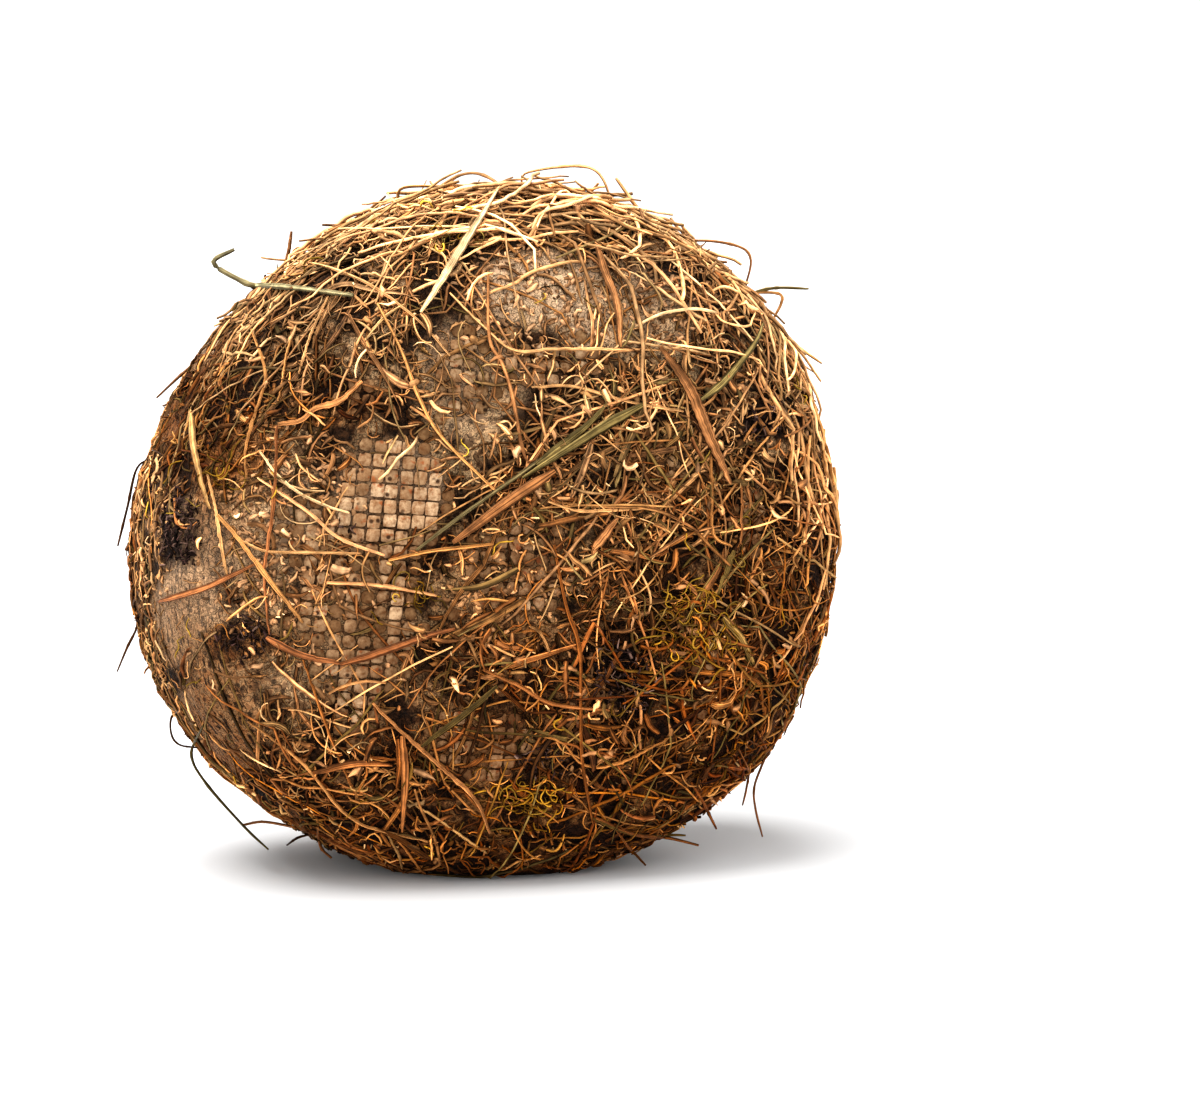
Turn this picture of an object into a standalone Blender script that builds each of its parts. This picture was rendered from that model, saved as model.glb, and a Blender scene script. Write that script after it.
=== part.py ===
"""A hay-ripened cheese wheel, standing on its rim.

The wheel is a thick disc with domed faces and full shoulders, pressed flat where it stands. Its rind
bears the square print of the mould and a coat of hay stalks and blades. The axis of the wheel lies
along Y, and its display face looks towards -Y. The origin is the middle of the flat foot on the rim.
"""

import itertools
import math

import bmesh
import bpy
import numpy as np

MM = 0.001

# Driving dimensions of the wheel.
WHEEL_RADIUS = 103 * MM
WHEEL_THICKNESS = 121 * MM
SHOULDER_POWER = 3.5
AXIS_HEIGHT = 97.8 * MM
GOLDEN_ANGLE = math.pi * (3 - math.sqrt(5))

CENTRE = np.array([0.0, 0.0, AXIS_HEIGHT])

# What makes the rim less than round: bulges, their share of the radius, and one crest's turn from +X to +Z.
BULGES = ((2, 0.0187, math.radians(20)), (3, 0.0175, math.radians(-44)))

# Slow swellings of the rind: their share of the radius, how many waves, and how the waves follow each other.
SWELL = 0.0032
SWELL_WAVES = 7
SWELL_TILT = 1.7
SWELL_RATE, SWELL_RATE_STEP = 2.5, 1.6
SWELL_FADE = 0.35

# The mesh of the rind: steps round the axis, and steps from face to face.
ROUND_STEPS = 50
ARC_STEPS = 22

# The mould's print: square studs between grooves.
PRINT_PITCH = 4.3 * MM
PRINT_TURN = math.radians(-4.5)
STUD_FOOT = 3.6 * MM
STUD_TOP = 2.8 * MM
STUD_RISE = 0.6 * MM
STUD_SINK = 1.5 * MM
PRINT_STEPS = 20

# Where the eye stands when the traced stalks are seen as the picture shows them, the picture's points to
# the millimetre there, and the point at which it shows the middle of the wheel.
EYE_TURN = math.radians(15)
EYE_HEIGHT = math.radians(6)
EYE_DISTANCE = 1.2
PICTURE_SCALE = 3.3
PICTURE_CENTRE = (487, 538)
SIGHT_STEPS = 160
SIGHT_NEAR, SIGHT_FAR = 1.3, 0.2
NORMAL_STEP = 0.5 * MM

# Hay: a round stem, and a flat blade with a rib along its middle, both bent once in each span.
STEM_SIDES = 4
BLADE_THICKNESS = 1.1 * MM
TIP_SHARE = 0.45
SPAN = 13 * MM
LEAST_POINTS = 4
CURVE_STEPS = 12
PROUD_SHARE = 0.9
END_SINK = 1.3 * MM
FLOOR_GAP = 0.6 * MM

# Patches of the mould's print that the hay leaves bare, in picture points: middle, half width, half height.
PRINT_PATCHES = (((392, 500), 62, 62), ((385, 655), 58, 62))

# Stalks traced on the picture: kind, width in millimetres, and picture points from end to end.
TRACED = {
    "pale_blade_top": ("blade", 2.6, ((500, 200), (470, 243), (440, 288), (421, 315))),
    "brown_blade_right": ("blade", 3.6, ((656, 349), (682, 386), (702, 430), (725, 484))),
    "green_blade_middle": ("blade", 3.0, ((641, 405), (600, 427), (560, 452), (520, 477))),
    "green_stem_middle": ("stem", 1.8, ((598, 417), (545, 455), (470, 508), (415, 549))),
    "split_blade_middle": ("blade", 3.2, ((552, 470), (515, 494), (482, 518), (450, 541))),
    "kinked_stem_upper": ("stem", 1.4, ((450, 295), (480, 325), (514, 352), (560, 350), (667, 352))),
    "straw_stem_right": ("stem", 1.5, ((530, 388), (570, 387), (625, 402), (681, 412))),
    "straw_stem_left": ("stem", 1.3, ((262, 257), (320, 269), (372, 288), (418, 321), (450, 357))),
    "grey_stem_out": ("stem", 1.9, ((236, 249), (215, 262), (240, 279), (268, 289), (356, 299))),
    "pale_blade_left": ("blade", 2.3, ((194, 411), (203, 472), (215, 508))),
    "straw_stem_far_left": ("stem", 1.5, ((211, 474), (220, 515), (230, 574))),
    "gold_stem_left": ("stem", 2.0, ((221, 514), (240, 535), (261, 564), (304, 620))),
    "level_stem_left": ("stem", 1.3, ((246, 540), (270, 550), (320, 551), (360, 552))),
    "gold_stem_centre": ("stem", 1.7, ((388, 559), (430, 550), (492, 543))),
    "slanting_stem_left": ("stem", 1.5, ((260, 477), (308, 510), (340, 537), (384, 554))),
    "long_gold_stem": ("stem", 1.5, ((379, 306), (402, 352), (419, 398), (442, 438), (502, 498))),
    "pale_stub_centre": ("stem", 1.7, ((327, 581), (379, 584), (435, 594))),
    "red_leaf_left": ("blade", 2.4, ((269, 634), (304, 652), (340, 660))),
    "red_leaf_right": ("blade", 2.2, ((340, 661), (372, 652), (425, 634), (453, 627))),
    "red_leaf_edge": ("blade", 1.9, ((161, 600), (190, 592), (216, 583), (258, 562))),
    "red_stem_down": ("stem", 1.4, ((280, 426), (277, 487), (270, 542), (266, 576), (271, 632))),
    "straw_stem_low": ("stem", 1.3, ((250, 718), (304, 759), (355, 817), (431, 838))),
    "orange_stem_low": ("stem", 1.3, ((304, 657), (320, 703), (338, 751), (355, 789))),
    "pale_stem_foot": ("stem", 1.2, ((386, 828), (398, 850), (403, 876))),
    "pale_stem_bottom": ("stem", 1.2, ((406, 795), (445, 821), (485, 848))),
    "rust_stem_middle": ("stem", 1.7, ((552, 544), (564, 606), (577, 651), (579, 751), (590, 820))),
    "seed_head_middle": ("stem", 1.8, ((481, 668), (517, 684), (550, 702), (606, 708))),
    "bright_stem_right": ("stem", 1.4, ((546, 501), (575, 510), (606, 510), (651, 508))),
    "upright_stem_right": ("stem", 1.6, ((708, 457), (709, 495), (711, 535), (728, 546))),
    "brown_stub_right": ("blade", 2.8, ((590, 548), (615, 517))),
    "olive_blade_right": ("blade", 2.1, ((730, 550), (722, 572), (713, 593))),
    "green_stem_hanging": ("stem", 1.3, ((206, 722), (192, 752), (205, 780), (243, 824), (268, 848))),
    "brown_blade_low_left": ("blade", 1.8, ((243, 823), (265, 820), (306, 828))),
    "brown_stem_low_right": ("stem", 1.6, ((593, 815), (629, 830), (667, 838), (698, 846))),
    "rust_stem_low_right": ("stem", 1.4, ((688, 780), (703, 805), (716, 830))),
    "loop_over_top": ("stem", 1.2, ((522, 186), (530, 172), (592, 168), (612, 204), (606, 240))),
    "straw_stem_top": ("stem", 1.8, ((617, 178), (644, 215), (664, 232), (700, 262))),
    "thin_loop_right": ("stem", 1.2, ((668, 264), (690, 242), (735, 245), (752, 260), (742, 300))),
    "green_stub_right": ("stem", 1.4, ((740, 300), (757, 292), (779, 288), (810, 289))),
    "straw_stem_edge": ("stem", 1.4, ((742, 303), (779, 329), (802, 349), (823, 364))),
    "kinked_stem_top": ("stem", 1.3, ((372, 214), (397, 205), (407, 187), (480, 190), (505, 204))),
    "pink_stem_low": ("stem", 1.9, ((372, 700), (402, 730), (440, 764), (473, 795), (488, 828))),
    "olive_blade_low": ("blade", 2.3, ((495, 684), (470, 705), (445, 724), (420, 743))),
    "olive_blade_upper_right": ("blade", 2.1, ((696, 402), (721, 382), (748, 349), (756, 329))),
    "left_edge_stem": ("stem", 1.3, ((152, 452), (142, 470), (139, 500), (141, 560), (150, 610))),
    "thin_stem_far_left": ("stem", 1.2, ((152, 458), (138, 468), (129, 505), (119, 545))),
}

# Stalks laid by rule on the sides that the picture doesn't show. They lie roughly round the rim.
RULED_TRIES = 90
RULED_SEED = 11
RULED_SWING = 1.1
RULED_BEND = 0.12
RULED_LENGTH = (42 * MM, 78 * MM)
RULED_WIDTH = (1.3, 2.9)
BLADE_FROM = 2.2
FOOT_CLEARANCE = 7 * MM
HUB_SHARE = 0.35


def unevenness(directions):
    """Slow swellings of the rind along unit directions, as a share of the distance from the centre."""
    swelling = np.zeros(len(directions))
    for wave in range(SWELL_WAVES):
        turn = GOLDEN_ANGLE * (wave + 1)
        axis = np.array([math.cos(turn), math.sin(SWELL_TILT * turn), math.sin(turn)])
        rate = SWELL_RATE + SWELL_RATE_STEP * wave
        swelling += np.sin(directions @ axis * rate + turn) / (1 + SWELL_FADE * wave)
    return SWELL * swelling


def bulging(directions):
    """What the rim's bulges add along unit directions, as a share of the distance from the centre."""
    turns = np.arctan2(directions[:, 2], directions[:, 0])
    waves = [share * np.cos(count * (turns - crest)) for count, share, crest in BULGES]
    return np.hypot(directions[:, 0], directions[:, 2]) ** 2 * sum(waves)


def rind_reach(directions):
    """Distance from the wheel's centre to the rind along unit directions."""
    outward = np.hypot(directions[:, 0], directions[:, 2]) / WHEEL_RADIUS
    sideways = np.abs(directions[:, 1]) / (WHEEL_THICKNESS / 2)
    even = (outward**SHOULDER_POWER + sideways**SHOULDER_POWER) ** (-1 / SHOULDER_POWER)
    return even * (1 + unevenness(directions) + bulging(directions))


def depth_in_wheel(points):
    """How far out each point is: below 1 inside the wheel, 1 on the rind."""
    arms = points - CENTRE
    lengths = np.linalg.norm(arms, axis=1)
    return lengths / rind_reach(arms / lengths[:, None])


def to_rind(points):
    """The points moved straight away from or towards the centre, onto the rind."""
    arms = points - CENTRE
    directions = arms / np.linalg.norm(arms, axis=1)[:, None]
    return CENTRE + directions * rind_reach(directions)[:, None]


def rind_normals(points):
    """Outward normals of the rind nearest to the points."""
    steps = NORMAL_STEP * np.eye(3)
    slopes = [depth_in_wheel(points + step) - depth_in_wheel(points - step) for step in steps]
    slopes = np.stack(slopes, axis=1)
    return slopes / np.linalg.norm(slopes, axis=1)[:, None]


def eye_axes():
    """The eye's place, and the directions to its right and up."""
    back = np.array(
        [
            -math.sin(EYE_TURN) * math.cos(EYE_HEIGHT),
            -math.cos(EYE_TURN) * math.cos(EYE_HEIGHT),
            math.sin(EYE_HEIGHT),
        ]
    )
    right = np.array([math.cos(EYE_TURN), -math.sin(EYE_TURN), 0.0])
    return CENTRE + EYE_DISTANCE * back, right, np.cross(back, right)


def seen_at(picture_points):
    """The points of the rind seen at picture points, or of the line of sight where it passes nearest."""
    eye, right, up = eye_axes()
    offsets = (np.array(picture_points, float) - PICTURE_CENTRE) / PICTURE_SCALE * MM
    targets = CENTRE + offsets[:, :1] * right - offsets[:, 1:] * up
    sights = targets - eye
    sights /= np.linalg.norm(sights, axis=1)[:, None]
    near = EYE_DISTANCE - SIGHT_NEAR * WHEEL_RADIUS
    far = EYE_DISTANCE + SIGHT_FAR * WHEEL_RADIUS
    reaches = np.linspace(near, far, SIGHT_STEPS)
    depths = np.stack([depth_in_wheel(eye + reach * sights) for reach in reaches])
    inside = depths < 1
    hit = inside.any(axis=0)
    first = np.where(hit, inside.argmax(axis=0), depths.argmin(axis=0))
    found = eye + reaches[first][:, None] * sights
    found[hit] = to_rind(found[hit])
    return found, hit


def smooth_line(points, count):
    """Evenly spaced points on a smooth curve through the given ones."""
    points = np.array(points, float)
    padded = np.vstack([2 * points[0] - points[1], points, 2 * points[-1] - points[-2]])
    fine = []
    for before, start, end, after in zip(padded, padded[1:], padded[2:], padded[3:]):
        for t in np.linspace(0, 1, CURVE_STEPS, endpoint=False):
            slope = (end - before) * t
            bow = (2 * before - 5 * start + 4 * end - after) * t**2
            swing = (3 * start - before - 3 * end + after) * t**3
            fine.append(start + (slope + bow + swing) / 2)
    fine = np.vstack([fine, points[-1]])
    along = np.concatenate([[0], np.cumsum(np.linalg.norm(np.diff(fine, axis=0), axis=1))])
    wanted = np.linspace(0, along[-1], count)
    return np.stack([np.interp(wanted, along, fine[:, k]) for k in range(fine.shape[1])], axis=1)


def closed_mesh(name, points, faces):
    """A closed mesh with its faces pointing out."""
    mesh_builder = bmesh.new()
    corners = [mesh_builder.verts.new(point) for point in points]
    for face in faces:
        mesh_builder.faces.new([corners[k] for k in face])
    bmesh.ops.recalc_face_normals(mesh_builder, faces=mesh_builder.faces)
    mesh = bpy.data.meshes.new(name)
    mesh_builder.to_mesh(mesh)
    mesh_builder.free()
    return mesh


def stalk_section(kind, width):
    """The section of a stem or a blade: offsets across and out from its middle line."""
    if kind == "stem":
        turns = [2 * math.pi * k / STEM_SIDES for k in range(STEM_SIDES)]
        return [(width / 2 * math.cos(turn), width / 2 * math.sin(turn)) for turn in turns]
    half, rib = width / 2, BLADE_THICKNESS / 2
    return [(half, 0), (0, rib), (-half, 0), (0, -rib)]


def stalk_mesh(name, line, normals, kind, width):
    """A closed stalk swept along a line, with thin ends."""
    points = []
    section = stalk_section(kind, width)
    sides = len(section)
    last = len(line) - 1
    for k, (point, normal) in enumerate(zip(line, normals)):
        ahead = line[min(k + 1, last)] - line[max(k - 1, 0)]
        ahead /= np.linalg.norm(ahead)
        across = np.cross(normal, ahead)
        across /= np.linalg.norm(across)
        out = np.cross(ahead, across)
        share = TIP_SHARE if k in (0, last) else 1
        points.extend(point + share * (a * across + b * out) for a, b in section)
    faces = [range(sides), range(last * sides, (last + 1) * sides)]
    for ring, k in itertools.product(range(0, last * sides, sides), range(sides)):
        after = (k + 1) % sides
        faces.append((ring + k, ring + after, ring + sides + after, ring + sides + k))
    return closed_mesh(name, points, faces)


def lie_on_rind(points, hit, kind, width):
    """Lifts a stalk's line onto the rind, with the ends that lie on the wheel sunk into it."""
    normals = rind_normals(points)
    height = BLADE_THICKNESS / 2 if kind == "blade" else width / 2
    lift = np.where(hit, PROUD_SHARE * height, 0.0)
    for end in (0, -1):
        if hit[end]:
            lift[end] = -END_SINK
    lifted = points + lift[:, None] * normals
    lowest = FLOOR_GAP + width / 2
    lifted[:, 2] = np.maximum(lifted[:, 2], lowest)
    return lifted, normals


def traced_stalk(name, kind, width_mm, picture_points):
    """The mesh of a stalk that the picture shows."""
    width = width_mm * MM
    legs = np.diff(np.array(picture_points, float), axis=0)
    length = np.linalg.norm(legs, axis=1).sum() / PICTURE_SCALE * MM
    line, hit = seen_at(smooth_line(picture_points, max(LEAST_POINTS, round(length / SPAN) + 1)))
    line, normals = lie_on_rind(line, hit, kind, width)
    return stalk_mesh(name, line, normals, kind, width)


def ruled_line(start, heading, bend, length):
    """A line that starts on the rind and crosses it at an even bend."""
    count = max(LEAST_POINTS, round(length / SPAN) + 1)
    step = length / (count - 1)
    points = [start]
    for _ in range(count - 1):
        normal = rind_normals(points[-1][None])[0]
        heading = heading - normal * (heading @ normal)
        heading = heading + bend * np.cross(normal, heading)
        heading /= np.linalg.norm(heading)
        points.append(to_rind((points[-1] + step * heading)[None])[0])
    return np.array(points)


def hidden_side(points):
    """True where the rind faces away from the eye."""
    eye = eye_axes()[0]
    facing = ((eye - points) * rind_normals(points)).sum(axis=1)
    return facing < 0


def ruled_stalks():
    """Meshes of stalks spread evenly over the sides that the picture doesn't show."""
    draws = np.random.default_rng(RULED_SEED)
    meshes = []
    for tried in range(RULED_TRIES):
        turn = GOLDEN_ANGLE * tried
        share = (2 * tried + 1) / RULED_TRIES - 1
        flat = math.sqrt(1 - share**2)
        direction = np.array([flat * math.cos(turn), share, flat * math.sin(turn)])
        start = to_rind((CENTRE + direction * WHEEL_RADIUS)[None])[0]
        normal = rind_normals(start[None])[0]
        round_rim = np.cross(normal, (0.0, 1.0, 0.0))
        if np.linalg.norm(round_rim) < HUB_SHARE:
            round_rim = np.cross(normal, (1.0, 0.0, 0.0))
        swing = draws.uniform(-RULED_SWING, RULED_SWING)
        heading = math.cos(swing) * round_rim + math.sin(swing) * np.cross(normal, round_rim)
        length = draws.uniform(*RULED_LENGTH)
        width_mm = draws.uniform(*RULED_WIDTH)
        bend = draws.uniform(-RULED_BEND, RULED_BEND)
        line = ruled_line(start, heading, bend, length)
        if line[:, 2].min() < FOOT_CLEARANCE or not hidden_side(line).all():
            continue
        kind = "blade" if width_mm > BLADE_FROM else "stem"
        width = width_mm * MM
        lifted, normals = lie_on_rind(line, np.full(len(line), True), kind, width)
        meshes.append(stalk_mesh("ruled_stalk", lifted, normals, kind, width))
    return meshes


def face_point(across, up):
    """The point of the display face that lies this far across and up from the hub."""
    outward = math.hypot(across, up) / WHEEL_RADIUS
    depth = WHEEL_THICKNESS / 2 * (1 - outward**SHOULDER_POWER) ** (1 / SHOULDER_POWER)
    return to_rind((CENTRE + np.array([across, -depth, up]))[None])[0]


def stud_mesh(column, row):
    """One square stud of the mould's print on the display face."""
    corners = []
    for half, rise in ((STUD_FOOT / 2, -STUD_SINK), (STUD_TOP / 2, STUD_RISE)):
        for a, b in ((-half, -half), (half, -half), (half, half), (-half, half)):
            u, v = column * PRINT_PITCH + a, row * PRINT_PITCH + b
            across = u * math.cos(PRINT_TURN) - v * math.sin(PRINT_TURN)
            up = u * math.sin(PRINT_TURN) + v * math.cos(PRINT_TURN)
            point = face_point(across, up)
            corners.append(point + rise * rind_normals(point[None])[0])
    faces = ((0, 1, 2, 3), (7, 6, 5, 4), (0, 4, 5, 1), (1, 5, 6, 2), (2, 6, 7, 3), (3, 7, 4, 0))
    return closed_mesh("stud", corners, faces)


def stud_meshes():
    """The studs whose middles lie in a bare patch."""
    steps = range(-PRINT_STEPS, PRINT_STEPS + 1)
    meshes = []
    for middle, half_width, half_height in PRINT_PATCHES:
        hub = seen_at([middle])[0][0] - CENTRE
        hub_u = hub[0] * math.cos(PRINT_TURN) + hub[2] * math.sin(PRINT_TURN)
        hub_v = hub[2] * math.cos(PRINT_TURN) - hub[0] * math.sin(PRINT_TURN)
        for column, row in itertools.product(steps, steps):
            u = (column * PRINT_PITCH - hub_u) / (half_width / PICTURE_SCALE * MM)
            v = (row * PRINT_PITCH - hub_v) / (half_height / PICTURE_SCALE * MM)
            if u**2 + v**2 < 1:
                meshes.append(stud_mesh(column, row))
    return meshes


def rind_mesh():
    """The closed surface of the wheel, from one face's middle to the other's."""
    directions = []
    for tilt in np.linspace(-math.pi / 2, math.pi / 2, ARC_STEPS + 1)[1:-1]:
        for turn in np.arange(ROUND_STEPS) * 2 * math.pi / ROUND_STEPS:
            out = math.cos(tilt)
            directions.append((out * math.cos(turn), math.sin(tilt), out * math.sin(turn)))
    front, back = len(directions), len(directions) + 1
    directions += [(0.0, -1.0, 0.0), (0.0, 1.0, 0.0)]
    last_ring = front - ROUND_STEPS
    faces = []
    for k in range(ROUND_STEPS):
        after = (k + 1) % ROUND_STEPS
        faces.append((front, after, k))
        faces.append((back, last_ring + k, last_ring + after))
        for ring in range(0, last_ring, ROUND_STEPS):
            second = ring + ROUND_STEPS
            faces.append((ring + k, ring + after, second + after, second + k))
    return closed_mesh("cheese_wheel", to_rind(CENTRE + np.array(directions)), faces)


def rind_material():
    """Dull brown rind under hay."""
    material = bpy.data.materials.new("rind")
    material.use_nodes = True
    shader = material.node_tree.nodes["Principled BSDF"]
    shader.inputs["Base Color"].default_value = (0.33, 0.22, 0.12, 1)
    shader.inputs["Roughness"].default_value = 0.85
    shader.inputs["Metallic"].default_value = 0.0
    return material


def add_object(mesh, collection):
    """An object of the mesh in the collection."""
    made = bpy.data.objects.new(mesh.name, mesh)
    collection.objects.link(made)
    return made


def apply_modifiers(target):
    """Replaces the object's mesh with what its modifiers make of it."""
    bpy.context.view_layer.update()
    graph = bpy.context.evaluated_depsgraph_get()
    applied = bpy.data.meshes.new_from_object(target.evaluated_get(graph))
    target.modifiers.clear()
    target.data = applied


def keep_outer_shell(target):
    """Deletes the loose scraps, and the small hollows that stalks close off where they cross the rind."""
    mesh_builder = bmesh.new()
    mesh_builder.from_mesh(target.data)
    unseen = set(mesh_builder.verts)
    shells = []
    while unseen:
        shell = set()
        edge_of_shell = [unseen.pop()]
        while edge_of_shell:
            point = edge_of_shell.pop()
            shell.add(point)
            found = {edge.other_vert(point) for edge in point.link_edges} & unseen
            unseen -= found
            edge_of_shell.extend(found)
        shells.append(shell)
    shells.sort(key=len)
    scraps = [point for shell in shells[:-1] for point in shell]
    bmesh.ops.delete(mesh_builder, geom=scraps, context="VERTS")
    mesh_builder.to_mesh(target.data)
    mesh_builder.free()


def fuse_toppings(wheel, meshes):
    """Joins the hay and the print's studs to the wheel as one solid."""
    toppings = bpy.data.collections.new("toppings")
    bpy.context.scene.collection.children.link(toppings)
    for mesh in meshes:
        add_object(mesh, toppings)
    union = wheel.modifiers.new("toppings", "BOOLEAN")
    union.operation = "UNION"
    union.operand_type = "COLLECTION"
    union.collection = toppings
    union.solver = "MANIFOLD"
    apply_modifiers(wheel)
    for topping in list(toppings.objects):
        bpy.data.objects.remove(topping)
    bpy.data.collections.remove(toppings)
    keep_outer_shell(wheel)


def cut_foot(wheel):
    """Cuts the flat foot on which the wheel stands."""
    side = 4 * WHEEL_RADIUS
    mesh_builder = bmesh.new()
    bmesh.ops.create_cube(mesh_builder, size=side)
    bmesh.ops.translate(mesh_builder, vec=(0, 0, -side / 2), verts=mesh_builder.verts)
    mesh = bpy.data.meshes.new("ground")
    mesh_builder.to_mesh(mesh)
    mesh_builder.free()
    ground = add_object(mesh, bpy.context.scene.collection)
    cut = wheel.modifiers.new("foot", "BOOLEAN")
    cut.operation = "DIFFERENCE"
    cut.object = ground
    cut.solver = "MANIFOLD"
    apply_modifiers(wheel)
    bpy.data.objects.remove(ground)


def main():
    for startup_object in list(bpy.data.objects):
        bpy.data.objects.remove(startup_object)
    wheel = add_object(rind_mesh(), bpy.context.scene.collection)
    toppings = [traced_stalk(name, *stalk) for name, stalk in TRACED.items()]
    fuse_toppings(wheel, toppings + ruled_stalks() + stud_meshes())
    cut_foot(wheel)
    wheel.data.materials.clear()
    wheel.data.materials.append(rind_material())


main()
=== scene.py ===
"""The looks of a hay-ripened cheese wheel that stands on its rim.

The rind, the mould's print and the hay are meshes at true size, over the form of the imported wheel. The
axis of the wheel lies along Y, its display face looks towards -Y, and it stands at the origin.
"""

import functools
import math

import bpy
import numpy as np
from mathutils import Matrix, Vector


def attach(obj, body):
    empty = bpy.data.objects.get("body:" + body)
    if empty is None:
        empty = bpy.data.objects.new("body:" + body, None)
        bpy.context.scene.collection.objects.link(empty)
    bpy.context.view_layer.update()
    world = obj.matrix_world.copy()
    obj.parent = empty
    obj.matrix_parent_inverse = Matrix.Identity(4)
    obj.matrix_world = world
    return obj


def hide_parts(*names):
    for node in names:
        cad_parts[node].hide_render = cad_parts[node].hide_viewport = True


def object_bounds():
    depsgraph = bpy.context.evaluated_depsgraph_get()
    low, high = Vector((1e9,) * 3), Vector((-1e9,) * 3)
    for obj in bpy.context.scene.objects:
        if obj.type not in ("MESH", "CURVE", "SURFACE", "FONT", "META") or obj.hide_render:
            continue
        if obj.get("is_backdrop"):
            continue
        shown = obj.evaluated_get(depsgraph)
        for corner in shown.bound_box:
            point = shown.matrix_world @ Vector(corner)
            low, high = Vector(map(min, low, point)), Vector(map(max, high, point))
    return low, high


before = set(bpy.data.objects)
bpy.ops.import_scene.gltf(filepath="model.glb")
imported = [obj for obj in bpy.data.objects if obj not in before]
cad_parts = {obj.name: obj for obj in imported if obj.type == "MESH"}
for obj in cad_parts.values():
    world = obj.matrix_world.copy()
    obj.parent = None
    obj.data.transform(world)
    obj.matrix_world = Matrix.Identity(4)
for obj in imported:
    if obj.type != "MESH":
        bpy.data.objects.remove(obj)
CAD_LOW, CAD_HIGH = (list(corner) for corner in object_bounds())

MM = 0.001

# The form of the wheel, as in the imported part.
WHEEL_RADIUS = 103 * MM
WHEEL_THICKNESS = 121 * MM
SHOULDER_POWER = 3.5
AXIS_HEIGHT = 97.8 * MM
GOLDEN_ANGLE = math.pi * (3 - math.sqrt(5))
SWELL = 0.0032
SWELL_WAVES = 7
SWELL_TILT = 1.7
SWELL_RATE, SWELL_RATE_STEP = 2.5, 1.6
SWELL_FADE = 0.35
CENTRE = np.array([0.0, 0.0, AXIS_HEIGHT])

# What makes the rim less than round: bulges, their share of the radius, and one crest's turn from +X to +Z.
BULGES = ((2, 0.0187, math.radians(20)), (3, 0.0175, math.radians(-44)))

# Where the eye stands, the picture's points to the millimetre at the middle of the wheel, the point at
# which the picture shows that middle, and the picture's size.
EYE_TURN = math.radians(15)
EYE_HEIGHT = math.radians(6)
EYE_DISTANCE = 1.2
PICTURE_SCALE = 3.3
PICTURE_CENTRE = np.array([487, 538])
PICTURE_SIZE = np.array([1200, 1097])
SIGHT_STEPS = 400
SIGHT_NEAR, SIGHT_FAR = 1.3, 0.2

# The visual model's points are held inside the CAD box, widened by this share of each side.
BOX_SHARE = 0.025

# Steps of the rind's mesh: round the axis, and from the middle of one face to that of the other, and
# the steps in which the profile between those middles is measured.
ROUND_STEPS = 280
ARC_STEPS = 122
PROFILE_STEPS = 4000

# The mould's print: square studs between grooves, the lines of a stud's mesh from side to side, and how
# clearly the print has to show for a stud to be there.
PRINT_ACROSS, PRINT_UP = 4.15 * MM, 4.32 * MM
PRINT_TURN = math.radians(-4.5)
PRINT_RADIUS = 84 * MM
STUD_SHARE = 0.99
STUD_RISE = 1.1 * MM
STUD_SINK = 1.2 * MM
STUD_STOPS = (-1, -0.8, 0, 0.8, 1)
LEAST_PRINT = 0.34

# How far the back face's patches are turned from those of the display face.
TWIN_TURN = math.radians(130)

# Patches of the display face, in picture points: middle, half width, half height.
BARE_PATCHES = (
    ((392, 500), 56, 62), ((368, 628), 46, 66), ((188, 612), 36, 58), ((218, 728), 44, 70),
    ((545, 288), 70, 40), ((600, 335), 40, 22), ((168, 405), 13, 44), ((202, 338), 24, 34),
    ((256, 284), 34, 20),
)
CLEAR_PRINT_PATCHES = (((392, 498), 60, 64),)
DENSE_PATCHES = (
    ((650, 470), 140, 160), ((600, 650), 170, 130), ((340, 350), 110, 70), ((360, 760), 110, 50),
)
CALM_PATCHES = (((320, 530), 150, 150), ((560, 300), 95, 55), ((240, 690), 90, 100))
WORN_PATCHES = (
    ((255, 525), 75, 75), ((290, 640), 80, 60), ((470, 380), 60, 60), ((500, 590), 70, 50),
    ((640, 320), 60, 50), ((480, 745), 70, 40),
)
FAINT_PRINT_PATCHES = (
    ((375, 625), 54, 80), ((466, 372), 40, 46), ((560, 365), 60, 24), ((300, 600), 90, 110),
    ((480, 745), 60, 40), ((520, 570), 60, 50),
)
SCABBY_PATCHES = (
    ((545, 300), 90, 62), ((680, 300), 60, 50), ((290, 540), 70, 130), ((500, 600), 60, 60),
)
MOULD_PATCHES = (
    ((181, 531), 20, 42), ((243, 634), 30, 20), ((762, 422), 22, 20), ((622, 676), 36, 34),
    ((540, 762), 26, 18), ((351, 520), 12, 9),
)
DAMP_PATCHES = (((215, 425), 60, 65), ((330, 400), 60, 28), ((240, 640), 34, 20))
# Patches of painted shade, where hay is painted darker.
PAINTED_SHADE_PATCHES = (((262, 335), 95, 80), ((690, 455), 60, 40), ((200, 440), 50, 60))
MOSS_PATCHES = (
    ((694, 622), 46, 30), ((531, 796), 44, 20), ((455, 240), 18, 10), ((226, 470), 18, 16),
    ((412, 590), 26, 16),
)

# Colours as 0 to 255 sRGB.
PALE_STRAW = (232, 204, 158)
STRAW = (210, 168, 118)
GOLD = (188, 142, 90)
TAN = (154, 112, 74)
RUST = (152, 102, 54)
RED_BROWN = (124, 80, 42)
RED_LEAF = (140, 94, 60)
PINK_BROWN = (208, 162, 118)
UMBER = (88, 62, 36)
RIND_SCAB = (158, 128, 98)
RIND_PALE = (184, 152, 118)
OLIVE = (114, 104, 66)
GREEN = (92, 86, 52)
GREY_GREEN = (110, 104, 76)
SAGE = (156, 152, 118)
MOSS = (182, 156, 62)
MOULD_GREY = (112, 94, 86)
MOULD_DARK = (52, 38, 36)
DARK = (40, 26, 15)

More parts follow.
